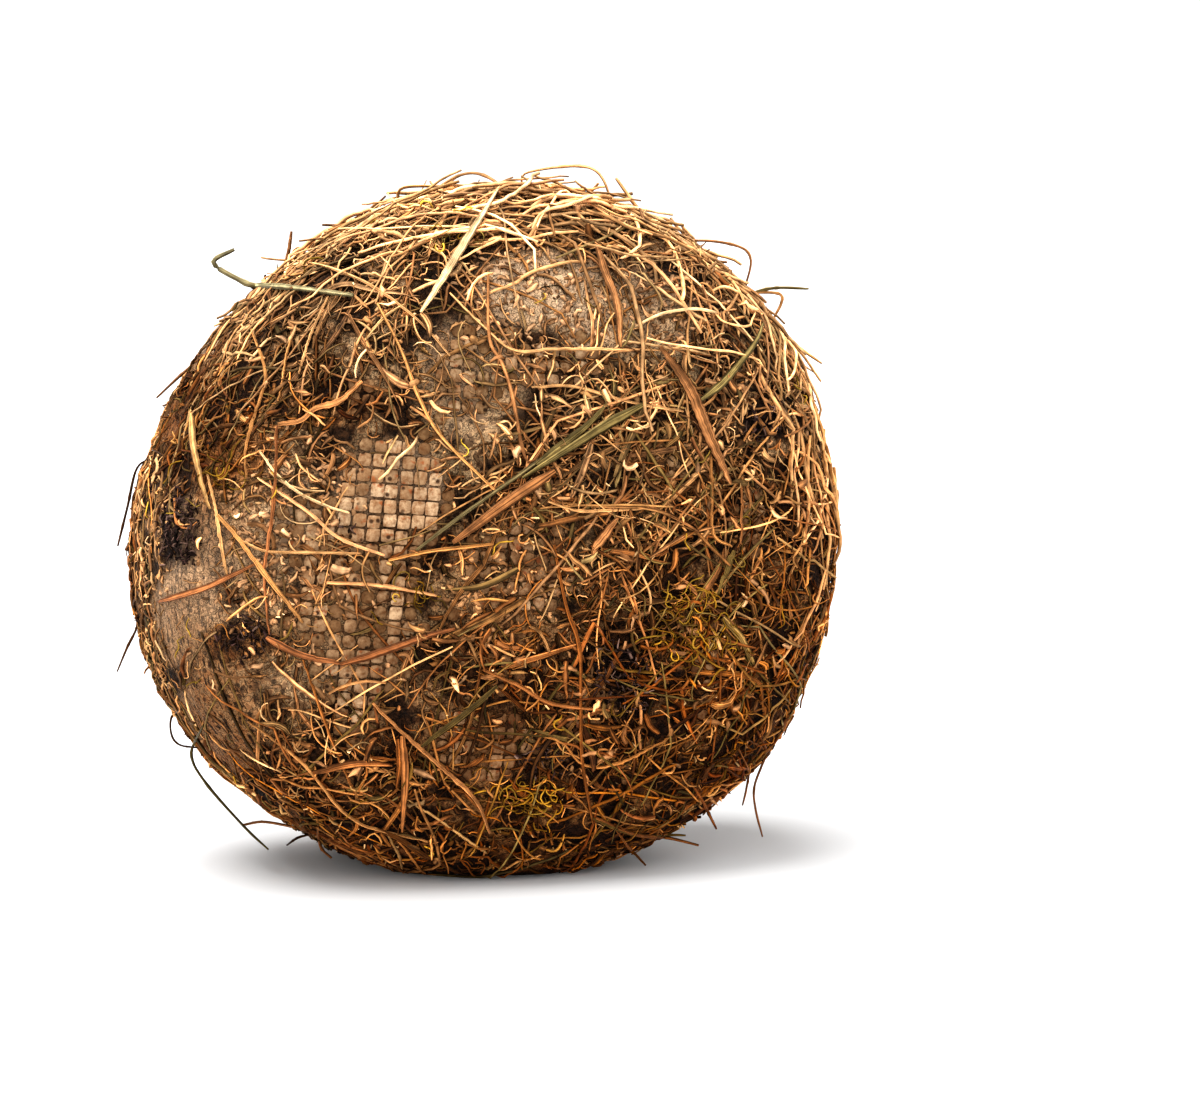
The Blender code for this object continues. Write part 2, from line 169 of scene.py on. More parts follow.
# Stalks traced on the picture: kind, width in millimetres, colour, and picture points from end to end.
# Those that the solid has too keep its names, widths and courses.
TRACED = {
    "pale_blade_top": ("blade", 2.6, PALE_STRAW, ((500, 200), (470, 243), (440, 288), (421, 315))),
    "brown_blade_right": ("blade", 3.6, TAN, ((656, 349), (682, 386), (702, 430), (725, 484))),
    "green_blade_middle": ("blade", 3.0, OLIVE, ((641, 405), (600, 427), (560, 452), (520, 477))),
    "green_stem_middle": ("stem", 1.8, GREY_GREEN, ((598, 417), (545, 455), (470, 508), (415, 549))),
    "split_blade_middle": ("blade", 3.2, TAN, ((552, 470), (515, 494), (482, 518), (450, 541))),
    "kinked_stem_upper": ("stem", 1.4, STRAW, ((450, 295), (480, 325), (514, 352), (560, 350), (667, 352))),
    "straw_stem_right": ("stem", 1.5, STRAW, ((530, 388), (570, 387), (625, 402), (681, 412))),
    "straw_stem_left": ("stem", 1.3, STRAW, ((262, 257), (320, 269), (372, 288), (418, 321), (450, 357))),
    "grey_stem_out": ("stem", 2.6, SAGE, ((236, 249), (215, 262), (240, 279), (268, 289), (356, 299))),
    "pale_blade_left": ("blade", 2.3, PALE_STRAW, ((194, 411), (203, 472), (215, 508))),
    "straw_stem_far_left": ("stem", 1.5, STRAW, ((211, 474), (220, 515), (230, 574))),
    "gold_stem_left": ("stem", 2.0, GOLD, ((221, 514), (240, 535), (261, 564), (304, 620))),
    "level_stem_left": ("stem", 1.3, STRAW, ((246, 540), (270, 550), (320, 551), (360, 552))),
    "gold_stem_centre": ("stem", 1.7, GOLD, ((388, 559), (430, 550), (492, 543))),
    "slanting_stem_left": ("stem", 1.5, PINK_BROWN, ((260, 477), (308, 510), (340, 537), (384, 554))),
    "long_gold_stem": ("stem", 1.5, GOLD, ((379, 306), (402, 352), (419, 398), (442, 438), (502, 498))),
    "pale_stub_centre": ("stem", 1.7, PINK_BROWN, ((327, 581), (379, 584), (435, 594))),
    "red_leaf_left": ("blade", 2.4, RED_LEAF, ((269, 634), (304, 652), (340, 660))),
    "red_leaf_right": ("blade", 2.2, RED_LEAF, ((340, 661), (372, 652), (425, 634), (453, 627))),
    "red_leaf_edge": ("blade", 1.9, RED_LEAF, ((161, 600), (190, 592), (216, 583), (258, 562))),
    "red_stem_down": ("stem", 1.4, RED_LEAF, ((280, 426), (277, 487), (270, 542), (266, 576), (271, 632))),
    "straw_stem_low": ("stem", 1.3, STRAW, ((250, 718), (304, 759), (355, 817), (431, 838))),
    "orange_stem_low": ("stem", 1.3, RUST, ((304, 657), (320, 703), (338, 751), (355, 789))),
    "pale_stem_foot": ("stem", 1.2, PALE_STRAW, ((386, 828), (398, 850), (403, 876))),
    "pale_stem_bottom": ("stem", 1.2, PALE_STRAW, ((406, 795), (445, 821), (485, 848))),
    "rust_stem_middle": ("stem", 1.7, RUST, ((552, 544), (564, 606), (577, 651), (579, 751), (590, 820))),
    "seed_head_middle": ("stem", 1.8, TAN, ((481, 668), (517, 684), (550, 702), (606, 708))),
    "bright_stem_right": ("stem", 1.4, STRAW, ((546, 501), (575, 510), (606, 510), (651, 508))),
    "upright_stem_right": ("stem", 1.6, GOLD, ((708, 457), (709, 495), (711, 535), (728, 546))),
    "brown_stub_right": ("blade", 2.8, TAN, ((590, 548), (615, 517))),
    "olive_blade_right": ("blade", 2.1, OLIVE, ((730, 550), (722, 572), (713, 593))),
    "green_stem_hanging": ("stem", 1.3, GREEN, ((206, 722), (192, 752), (205, 780), (243, 824), (268, 848))),
    "brown_blade_low_left": ("blade", 1.8, TAN, ((243, 823), (265, 820), (306, 828))),
    "brown_stem_low_right": ("stem", 1.6, TAN, ((593, 815), (629, 830), (667, 838), (698, 846))),
    "rust_stem_low_right": ("stem", 1.4, RUST, ((688, 780), (703, 805), (716, 830))),
    "loop_over_top": ("stem", 1.2, STRAW, ((522, 186), (530, 172), (592, 168), (612, 204), (606, 240))),
    "straw_stem_top": ("stem", 1.8, STRAW, ((617, 178), (644, 215), (664, 232), (700, 262))),
    "thin_loop_right": ("stem", 1.2, TAN, ((668, 264), (690, 242), (735, 245), (752, 260), (742, 300))),
    "green_stub_right": ("stem", 1.4, OLIVE, ((740, 300), (757, 292), (779, 288), (810, 289))),
    "straw_stem_edge": ("stem", 1.4, GOLD, ((742, 303), (779, 329), (802, 349), (823, 364))),
    "kinked_stem_top": ("stem", 1.3, GOLD, ((372, 214), (397, 205), (407, 187), (480, 190), (505, 204))),
    "pink_stem_low": ("stem", 1.9, PINK_BROWN, ((372, 700), (402, 730), (440, 764), (473, 795), (488, 828))),
    "olive_blade_low": ("blade", 2.3, OLIVE, ((495, 684), (470, 705), (445, 724), (420, 743))),
    "olive_blade_upper_right": ("blade", 2.1, OLIVE, ((696, 402), (721, 382), (748, 349), (756, 329))),
    "left_edge_stem": ("stem", 1.3, UMBER, ((152, 452), (142, 470), (139, 500), (141, 560), (150, 610))),
    "thin_stem_far_left": ("stem", 1.2, UMBER, ((152, 458), (138, 468), (129, 505), (119, 545))),
    "edge_stem_upper_left": ("stem", 1.3, STRAW, ((208, 362), (230, 328), (256, 306), (286, 272))),
    "upright_stub_left": ("stem", 1.7, TAN, ((293, 231), (289, 256), (280, 284))),
    "stem_out_left": ("stem", 1.3, TAN, ((158, 397), (191, 367), (223, 345))),
    "wavy_stem_left": ("stem", 2.4, PINK_BROWN, ((281, 425), (304, 421), (317, 409), (340, 402), (363, 382))),
    "leaning_stem_left": ("stem", 1.2, STRAW, ((331, 299), (315, 334), (301, 375))),
    "leaning_stem_beside": ("stem", 1.2, GOLD, ((299, 327), (290, 357), (281, 402))),
    "bent_stem_left": ("stem", 1.4, STRAW, ((255, 329), (268, 370), (265, 393), (249, 448), (249, 478))),
    "stem_to_print": ("stem", 1.3, PALE_STRAW, ((262, 450), (278, 473), (299, 491), (327, 505), (350, 512))),
    "olive_blade_beside": ("blade", 2.4, OLIVE, ((534, 464), (578, 431), (603, 405))),
    "brown_stem_middle": (
        "stem", 1.6, TAN,
        ((488, 275), (489, 339), (501, 364), (511, 395), (526, 461), (547, 438)),
    ),
    "brown_blade_upper": ("blade", 2.4, TAN, ((593, 252), (603, 278), (613, 303), (618, 349))),
    "gold_blade_top": ("blade", 2.2, GOLD, ((523, 183), (544, 188), (565, 198), (580, 210))),
    "straw_stem_over_top": ("stem", 1.3, STRAW, ((412, 212), (436, 190), (465, 174), (491, 178), (525, 206))),
    "hooked_stem_right": ("stem", 1.3, GOLD, ((745, 293), (782, 295), (775, 318), (766, 330))),
    "straw_stem_flank": ("stem", 1.4, STRAW, ((748, 322), (782, 332), (802, 353), (822, 382))),
    "dark_stem_far_left": ("stem", 1.2, UMBER, ((150, 480), (135, 496), (134, 542), (137, 579), (150, 600))),
    "dark_hook_far_left": ("stem", 1.1, UMBER, ((148, 585), (137, 601), (138, 624), (128, 646), (118, 670))),
    "dark_loop_low_left": ("stem", 1.0, UMBER, ((184, 706), (172, 716), (172, 733), (180, 743), (198, 746))),
    "curl_at_foot": ("stem", 1.1, UMBER, ((316, 832), (298, 836), (286, 844))),
    "stub_at_foot": ("stem", 1.4, TAN, ((318, 822), (320, 845), (331, 857))),
    "gold_stem_foot": ("stem", 1.2, GOLD, ((394, 832), (410, 852), (427, 874))),
    "tan_blade_low": ("blade", 2.4, TAN, ((401, 731), (404, 776), (402, 825))),
    "rust_blade_low": ("blade", 2.0, RUST, ((397, 735), (399, 760), (396, 782))),
    "straight_stem_right": ("stem", 1.2, TAN, ((738, 483), (739, 510), (738, 544))),
    "bowed_stem_low": ("stem", 1.3, GOLD, ((537, 733), (560, 741), (580, 762), (613, 762), (662, 738))),
    "olive_stem_low": ("stem", 1.4, OLIVE, ((589, 815), (613, 825), (639, 833), (685, 836))),
    "stub_low_right": ("stem", 1.2, TAN, ((614, 828), (629, 848), (645, 866))),
    "hanging_stem_right": ("stem", 1.1, TAN, ((736, 748), (747, 774), (746, 789), (742, 806))),
    "hanging_stem_beside": ("stem", 1.1, TAN, ((744, 738), (764, 753), (754, 787), (755, 810), (762, 838))),
}

# How wide the traced stems and blades are, against the solid's, how thick a blade is, and the points of
# each line and how many of them its lift off the rind is evened over.
STEM_SHARE, BLADE_SHARE = 0.7, 1.15
BLADE_DEPTH = 0.45 * MM
TRACED_POINTS, TRACED_EVENED = 36, 9

CURVE_STEPS = 12

# The share of stalks kept off the clear print, and the share of ends that are tucked in.
CLEARED_SHARE, TUCKED_SHARE = 0.6, 0.55

# The colour that light bleaches hay to, and how much darker the painted shade makes hay on its patches.
BLEACHED = (226, 186, 138)
PAINTED_SHADE_SHARE = 0.42

# What becomes of a stalk's colour where it is dry, where it is damp, and in painted shade deep in the coat.
# The dry and damp tints also hold painted light: paler over the top of the wheel, darker towards its foot.
DRY_TINT_AND_PAINTED_TOP_LIGHT = (1.58, 1.39, 1.24)
DAMP_TINT_AND_PAINTED_FOOT_SHADE = (0.96, 0.53, 0.13)
PAINTED_DEEP_SHADE = (0.20, 0.16, 0.11)

# Painted shade beneath a stalk and painted highlight on its top, as a share of its own colour.
PAINTED_UNDERSIDE_SHADE, PAINTED_TOPSIDE_HIGHLIGHT = 0.2, 1.45


def unevenness(directions):
    """Slow swellings of the rind along unit directions, as a share of the distance from the centre."""
    swelling = np.zeros(len(directions))
    for wave in range(SWELL_WAVES):
        turn = GOLDEN_ANGLE * (wave + 1)
        axis = np.array([math.cos(turn), math.sin(SWELL_TILT * turn), math.sin(turn)])
        rate = SWELL_RATE + SWELL_RATE_STEP * wave
        swelling += np.sin(directions @ axis * rate + turn) / (1 + SWELL_FADE * wave)
    return SWELL * swelling


def bulging(directions):
    """What the rim's bulges add along unit directions, as a share of the distance from the centre."""
    turns = np.arctan2(directions[:, 2], directions[:, 0])
    waves = [share * np.cos(count * (turns - crest)) for count, share, crest in BULGES]
    return from_axis(directions) ** 2 * sum(waves)


def unit(vectors):
    """The vectors at unit length."""
    return vectors / np.linalg.norm(vectors, axis=-1, keepdims=True)


def dot(first, second):
    """The dot products of two lists of vectors, kept as a column."""
    return (first * second).sum(axis=-1, keepdims=True)


def from_axis(arms):
    """How far out from the wheel's axis arms from its centre reach."""
    return np.hypot(arms[..., 0], arms[..., 2])


def rind_reach(directions):
    """Distance from the wheel's centre to the rind along unit directions."""
    outward = from_axis(directions) / WHEEL_RADIUS
    sideways = np.abs(directions[:, 1]) / (WHEEL_THICKNESS / 2)
    even = (outward**SHOULDER_POWER + sideways**SHOULDER_POWER) ** (-1 / SHOULDER_POWER)
    return even * (1 + unevenness(directions) + bulging(directions))


def depth_in_wheel(points):
    """How far out each point is: below 1 inside the wheel, 1 on the rind."""
    arms = points - CENTRE
    lengths = np.linalg.norm(arms, axis=1)
    return lengths / rind_reach(arms / lengths[:, None])


def to_rind(points):
    """The points moved straight away from or towards the centre, onto the rind."""
    directions = unit(points - CENTRE)
    return CENTRE + directions * rind_reach(directions)[:, None]


def rind_normals(points):
    """Outward normals of the wheel's even form at the points."""
    arms = points - CENTRE
    radius = np.maximum(from_axis(arms), 1e-6)
    power = SHOULDER_POWER - 1
    outward = (radius / WHEEL_RADIUS) ** power / WHEEL_RADIUS
    half = WHEEL_THICKNESS / 2
    sideways = np.sign(arms[..., 1]) * (np.abs(arms[..., 1]) / half) ** power / half
    slopes = [outward * arms[..., 0] / radius, sideways, outward * arms[..., 2] / radius]
    return unit(np.stack(slopes, axis=-1))


def eye_axes():
    """The eye's place, and the directions to its right and up."""
    right = np.array([math.cos(EYE_TURN), -math.sin(EYE_TURN), 0.0])
    level = math.cos(EYE_HEIGHT)
    back = np.array([-math.sin(EYE_TURN) * level, -math.cos(EYE_TURN) * level, math.sin(EYE_HEIGHT)])
    return CENTRE + EYE_DISTANCE * back, right, np.cross(back, right)


def seen_at(picture_points):
    """The points of the rind seen at picture points, or of the line of sight where it passes nearest."""
    eye, right, up = eye_axes()
    offsets = (np.array(picture_points, float) - PICTURE_CENTRE) / PICTURE_SCALE * MM
    targets = CENTRE + offsets[:, :1] * right - offsets[:, 1:] * up
    sights = unit(targets - eye)
    near = EYE_DISTANCE - SIGHT_NEAR * WHEEL_RADIUS
    far = EYE_DISTANCE + SIGHT_FAR * WHEEL_RADIUS
    reaches = np.linspace(near, far, SIGHT_STEPS)
    depths = np.stack([depth_in_wheel(eye + reach * sights) for reach in reaches])
    inside = depths < 1
    hit = inside.any(axis=0)
    first = np.where(hit, inside.argmax(axis=0), depths.argmin(axis=0))
    found = eye + reaches[first][:, None] * sights
    found[hit] = to_rind(found[hit])
    return found, hit


def picture_place(points):
    """Where the picture shows the points, in picture points, and whether the rind there faces the eye."""
    eye, right, up = eye_axes()
    ahead = unit(CENTRE - eye)
    arms = points - eye
    reach = EYE_DISTANCE / (arms @ ahead) * PICTURE_SCALE / MM
    across = PICTURE_CENTRE[0] + (arms @ right) * reach
    down = PICTURE_CENTRE[1] - (arms @ up) * reach
    shown = (rind_normals(points) * -arms).sum(axis=-1) > 0
    return across, down, shown


def smooth_step(low, high, values):
    """0 below low, 1 above high, and smooth between."""
    share = np.clip((values - low) / (high - low), 0, 1)
    return share * share * (3 - 2 * share)


def patch_share(points, patches):
    """1 inside the patches and 0 outside them. The back face has the same patches, turned and mirrored."""
    arms = points - CENTRE
    cos, sin = math.cos(TWIN_TURN), math.sin(TWIN_TURN)
    x, y, z = arms.T
    twin = np.stack([x * cos - z * sin, -y, x * sin + z * cos], axis=1)
    share = np.zeros(len(points))
    for place in (points, CENTRE + twin):
        across, down, shown = picture_place(place)
        for (middle_across, middle_down), half_width, half_height in patches:
            far = np.hypot((across - middle_across) / half_width, (down - middle_down) / half_height)
            share = np.maximum(share, shown * (1 - smooth_step(0.75, 1.15, far)))
    return share


def share_of(points, patches):
    """The patches' share as a column."""
    return patch_share(points, patches)[:, None]


def ripple(points, wavelength, seed, waves=9):
    """Smooth noise between about -1 and 1, with bumps about half a wavelength wide."""
    draws = np.random.default_rng(seed)
    total = np.zeros(len(points))
    for _ in range(waves):
        axis = unit(draws.normal(size=3))
        rate = 2 * math.pi / wavelength * draws.uniform(0.7, 1.5)
        total += np.sin(points @ axis * rate + draws.uniform(0, 2 * math.pi))
    return total / math.sqrt(waves)


def dampness_and_painted_shade(points):
    """0 where the wheel is dry and pale, 1 where it is damp and in painted shade, towards the foot and one
    side.
    """
    arms = (points - CENTRE) / WHEEL_RADIUS
    side = np.where(arms[:, 1] < 0.15, arms[:, 0], -0.4 * arms[:, 0])
    lean = 0.3 * np.maximum(side, 0) + 0.6 * np.minimum(side, 0)
    slope = lean * smooth_step(0.35, -0.15, arms[:, 2]) - 0.8 * arms[:, 2]
    slope = slope + 0.55 * patch_share(points, DAMP_PATCHES)
    return smooth_step(-0.7, 0.7, slope + 0.12 * ripple(points, 45 * MM, 5))


def coat_depth(points):
    """How deep the hay lies: deep over the top, middling on the faces, thin on the flanks."""
    arms = (points - CENTRE) / WHEEL_RADIUS
    rim = smooth_step(0.75, 1.0, from_axis(arms))
    top = smooth_step(0.4, 0.95, arms[:, 2] + 0.15 * arms[:, 0])
    return 1 + rim * (1.15 * top - 0.6)


def relief(points):
    """Height of the rind's lumps and wrinkles."""
    lumps = 0.40 * ripple(points, 26 * MM, 21)
    dimples = 0.26 * ripple(points, 9 * MM, 22)
    wrinkles = 0.22 * (0.5 - np.abs(ripple(points, 6.5 * MM, 23)))
    return MM * (lumps + dimples + wrinkles)


def on_rind(points):
    """The points moved onto the rind with its relief."""
    placed = to_rind(points)
    return placed + relief(placed)[:, None] * rind_normals(placed)


def painted_light_and_damp_tint(damp_and_painted_shade):
    """What the tint of hay is multiplied by, from dry with painted light to damp with painted shade."""
    dry = np.array(DRY_TINT_AND_PAINTED_TOP_LIGHT)
    return dry + (np.array(DAMP_TINT_AND_PAINTED_FOOT_SHADE) - dry) * damp_and_painted_shade


def linear(colour):
    """A 0 to 255 sRGB colour as linear light."""
    share = np.array(colour, float) / 255
    return np.where(share <= 0.04045, share / 12.92, ((share + 0.055) / 1.055) ** 2.4)


ATTRIBUTE_KINDS = {(): ("FLOAT", "value"), (3,): ("FLOAT_VECTOR", "vector"), (4,): ("FLOAT_COLOR", "color")}


def mesh_object(name, points, loops, counts, attributes):
    """A smooth mesh from arrays: corner indices, how many corners each face has, and point attributes."""
    low, high = np.array(CAD_LOW), np.array(CAD_HIGH)
    spare = BOX_SHARE * (high - low)
    low, high = low - spare, high + spare
    low[2] = 0
    points = np.clip(points, low, high)
    mesh = bpy.data.meshes.new(name)
    mesh.vertices.add(len(points))
    mesh.vertices.foreach_set("co", points.astype(np.float32).ravel())
    mesh.loops.add(len(loops))
    mesh.loops.foreach_set("vertex_index", loops.astype(np.int32))
    mesh.polygons.add(len(counts))
    starts = np.concatenate([[0], np.cumsum(counts)[:-1]])
    mesh.polygons.foreach_set("loop_start", starts.astype(np.int32))
    mesh.update(calc_edges=True)
    mesh.shade_smooth()
    for attribute, values in attributes.items():
        kind, field = ATTRIBUTE_KINDS[values.shape[1:]]
        layer = mesh.attributes.new(attribute, kind, "POINT")
        layer.data.foreach_set(field, values.astype(np.float32).ravel())
    made = bpy.data.objects.new(name, mesh)
    bpy.context.scene.collection.objects.link(made)
    return made


def ring_faces(rings, sides, closed_ends=True):
    """Corner indices and counts of the faces of one tube of so many rings with so many sides."""
    first = np.arange(rings - 1)[:, None] * sides
    k = np.arange(sides)
    after = (k + 1) % sides
    quads = np.stack([first + k, first + after, first + sides + after, first + sides + k], axis=-1)
    quads = quads.reshape(-1, 4)
    if not closed_ends:
        return quads.ravel(), np.full(len(quads), 4)
    caps = np.concatenate([k[::-1], (rings - 1) * sides + k])
    return np.concatenate([quads.ravel(), caps]), np.concatenate([np.full(len(quads), 4), [sides, sides]])


def round_section(sides):
    """A round section of so many sides, with a ridge on top."""
    turns = math.pi / 2 + np.arange(sides) * 2 * math.pi / sides
    return np.stack([np.cos(turns), np.sin(turns)], axis=1)


STEM_SECTION, THIN_SECTION = round_section(4), round_section(3)
BLADE_SECTION = np.array([(1, 0.2), (0.45, 0.9), (0, 0.35), (-0.45, 0.9), (-1, 0.2), (0, -0.7)])
FLAT_SECTION = np.array([(1, 0), (0, 1), (-1, 0), (0, -1)])


def lengths_along(lines):
    """How far along its line each point lies."""
    strides = np.linalg.norm(np.diff(lines, axis=-2), axis=-1)
    return np.concatenate([0 * strides[..., :1], np.cumsum(strides, axis=-1)], axis=-1)


def grid_of(first, second):
    """Every pair of two lists' values."""
    return (grid.ravel() for grid in np.meshgrid(first, second, indexing="ij"))


def between(limits, share):
    """The value a share of the way from the lower limit to the upper one."""
    return limits[0] + (limits[1] - limits[0]) * share


@functools.cache
def rind_cells():
    """The rind's grid: its points without relief, and the cells' corner indices and counts."""
    tilts = np.linspace(-math.pi / 2, math.pi / 2, PROFILE_STEPS + 1)
    profile = np.stack([np.cos(tilts), np.sin(tilts), 0 * tilts], axis=1)
    along = lengths_along(profile * rind_reach(profile)[:, None])
    wanted = np.linspace(0, along[-1], ARC_STEPS + 1)[1:-1]
    turns = np.arange(ROUND_STEPS) * 2 * math.pi / ROUND_STEPS
    tilt, turn = grid_of(np.interp(wanted, along, tilts), turns)
    directions = np.stack([np.cos(tilt) * np.cos(turn), np.sin(tilt), np.cos(tilt) * np.sin(turn)], axis=1)
    loops, counts = ring_faces(ARC_STEPS - 1, ROUND_STEPS, closed_ends=False)
    k = np.arange(ROUND_STEPS)
    after = (k + 1) % ROUND_STEPS
    front = len(directions) + 0 * k
    last = front - ROUND_STEPS + k
    front_cap = np.stack([front, after, k], axis=1)
    back_cap = np.stack([front + 1, last, last - k + after], axis=1)
    points = to_rind(CENTRE + np.vstack([directions, (0, -1, 0), (0, 1, 0)]))
    loops = np.concatenate([loops, front_cap.ravel(), back_cap.ravel()])
    return points, loops, np.concatenate([counts, np.full(2 * ROUND_STEPS, 3)])


def print_strength(points):
    """How clearly the mould's print shows: 1 where it is crisp, 0 where it has faded away."""
    arms = points - CENTRE
    inside = 1 - smooth_step(0.8 * PRINT_RADIUS, PRINT_RADIUS, from_axis(arms))
    clear = patch_share(points, CLEAR_PRINT_PATCHES)
    faint = 0.66 * patch_share(points, FAINT_PRINT_PATCHES)
    chance = 0.08 + 0.36 * ripple(points, 24 * MM, 31)
    worn = 0.18 * ripple(points, 13 * MM, 32)
    return inside * np.maximum(np.maximum(clear + worn * (clear > 0.02), faint + worn), chance)


def make_rind():
    """The closed rind, with its lumps, and what it is like from place to place."""
    smooth, loops, counts = rind_cells()
    points = smooth + relief(smooth)[:, None] * rind_normals(smooth)
    bare = np.maximum(patch_share(smooth, BARE_PATCHES), 0.55 * patch_share(smooth, WORN_PATCHES))
    mould = patch_share(smooth, MOULD_PATCHES)
    marks = np.stack([bare, mould, np.clip(print_strength(smooth), 0, 1)], axis=1)
    arms = smooth - CENTRE
    around = np.arctan2(arms[:, 0], -arms[:, 2]) * WHEEL_RADIUS
    rim = smooth_step(0.72, 0.95, from_axis(arms) / WHEEL_RADIUS)
    girth = np.stack([around / MM, arms[:, 1] / MM, rim], axis=1)
    attributes = {"marks": marks, "girth": girth, "damp_and_painted_shade": dampness_and_painted_shade(smooth)}
    return mesh_object("rind", points, loops, counts, attributes)


def in_print(across, up):
    """Offsets along the print's own rows and columns, turned as the print is."""
    cos, sin = math.cos(PRINT_TURN), math.sin(PRINT_TURN)
    return cos * across - sin * up, sin * across + cos * up


def stud_places():
    """The middles of each face's studs, and how strongly each shows."""
    reach = round(PRINT_RADIUS / PRINT_ACROSS)
    steps = np.arange(-reach, reach + 1)
    column, row = grid_of(steps, steps)
    across, up = in_print(PRINT_ACROSS * column, PRINT_UP * row)
    for side in (-1.0, 1.0):
        middles = CENTRE + np.stack([across, np.full(len(up), side * WHEEL_THICKNESS / 2), up], axis=1)
        strengths = print_strength(face_points(middles))
        kept = strengths > LEAST_PRINT
        yield middles[kept], strengths[kept]


def face_points(points):
    """The points moved along the wheel's axis onto the face on their side."""
    arms = points - CENTRE
    outward = np.minimum(from_axis(arms) / WHEEL_RADIUS, 0.999)
    depth = WHEEL_THICKNESS / 2 * (1 - outward**SHOULDER_POWER) ** (1 / SHOULDER_POWER)
    return to_rind(CENTRE + np.stack([arms[:, 0], np.sign(arms[:, 1]) * depth, arms[:, 2]], axis=1))


def stud_mesh():
    """A stud's grid, its edge in order, and the corner indices and counts of a stud's faces."""
    span = len(STUD_STOPS)
    low = np.arange(span - 1)[:, None] * span + np.arange(span - 1)
    top = np.stack([low, low + span, low + span + 1, low + 1], axis=-1).reshape(-1, 4)
    k = np.arange(span)
    rim = np.concatenate([k * span, (span - 1) * span + k[1:], k[-2::-1] * span + span - 1, k[-2:0:-1]])
    skirt = span * span + np.arange(len(rim))
    walls = np.stack([rim, skirt, np.roll(skirt, -1), np.roll(rim, -1)], axis=1)
    loops = np.concatenate([top.ravel(), walls.ravel(), skirt[::-1]])
    counts = np.concatenate([np.full(len(top) + len(walls), 4), [len(rim)]])
    return grid_of(STUD_STOPS, STUD_STOPS), rim, loops, counts


def make_studs():
    """The studs of the mould's print on both faces, each a low cushion with rounded corners."""
    draws = np.random.default_rng(41)
    (u, v), rim, loops, counts = stud_mesh()
    edge = np.concatenate([np.maximum(np.abs(u), np.abs(v)) ** 3, np.ones(len(rim))])[:, None]
    points, marks, damp_and_painted_shades = [], [], []
    for middles, strengths in stud_places():
        amount = len(middles)
        half = STUD_SHARE / 2 * np.array([PRINT_ACROSS, PRINT_UP]) * draws.uniform(0.92, 1.0, (amount, 2))
        lean = draws.normal(0, 0.14, (amount, 2))
        skew = draws.normal(0, 0.05, amount)
        rounding = draws.uniform(0.05, 0.16, amount) + 0.22 * smooth_step(0.95, 0.5, strengths)
        corner = 1 - rounding[:, None] * (u * v) ** 2
        across = half[:, :1] * u * corner + skew[:, None] * half[:, :1] * v
        up = half[:, 1:] * v * corner
        dome = (1 - 0.25 * u**2 - 0.35 * u**6) * (1 - 0.25 * v**2 - 0.35 * v**6)
        rise = STUD_RISE * (0.35 + 0.65 * strengths[:, None]) * dome
        rise = rise * (1 + lean[:, :1] * u + lean[:, 1:] * v) * draws.uniform(0.8, 1.1, (amount, 1))
        rise = np.concatenate([rise, np.full((amount, len(rim)), -STUD_SINK)], axis=1)
        across, up = (np.concatenate([part, part[:, rim] * 1.04], axis=1) for part in (across, up))
        across, up = in_print(across, up)
        stray = draws.normal(0, 0.14 * MM, (amount, 1, 3)) * np.array([1, 0, 1])
        flat = middles[:, None] + np.stack([across, 0 * across, up], axis=-1) + stray
        base = on_rind(face_points(flat.reshape(-1, 3)))
        points.append(base + rise.reshape(-1, 1) * rind_normals(base))
        own = draws.uniform(0, 1, (amount, 1, 1))
        batch = np.broadcast_arrays(own, edge, strengths[:, None, None])
        marks.append(np.concatenate(batch, axis=2).reshape(-1, 3))
        damp_and_painted_shades.append(dampness_and_painted_shade(base))
    points = np.concatenate(points)
    firsts = np.arange(0, len(points), len(edge))[:, None]
    attributes = {"marks": np.concatenate(marks), "damp_and_painted_shade": np.concatenate(damp_and_painted_shades)}
    return mesh_object(
        "print_studs", points, (loops + firsts).ravel(), np.tile(counts, len(firsts)), attributes
    )


def smooth_line(points, count):
    """Evenly spaced points on a smooth curve through the given ones."""
    points = np.array(points, float)
    padded = np.vstack([2 * points[0] - points[1], points, 2 * points[-1] - points[-2]])
    fine = []
    for before, start, end, after in zip(padded, padded[1:], padded[2:], padded[3:]):
        for t in np.linspace(0, 1, CURVE_STEPS, endpoint=False):
            slope = (end - before) * t
            bow = (2 * before - 5 * start + 4 * end - after) * t**2
            swing = (3 * start - before - 3 * end + after) * t**3
            fine.append(start + (slope + bow + swing) / 2)
    fine = np.vstack([fine, points[-1]])
    along = lengths_along(fine)
    wanted = np.linspace(0, along[-1], count)
    return np.stack([np.interp(wanted, along, fine[:, k]) for k in range(fine.shape[1])], axis=1)


def stem_profile(share, draws):
    """How thick a stem is along its length: slimmer towards its ends, with a knot or two."""
    waves = 0.07 * np.sin(share * draws.uniform(9, 20) + draws.uniform(0, 6))
    knots = [np.exp(-(((share - place) / 0.025) ** 2)) for place in draws.uniform(0.15, 0.85, 2)]
    return (0.62 + 0.38 * np.sin(math.pi * share) ** 0.6) * (1 + waves + 0.3 * np.sum(knots, axis=0))


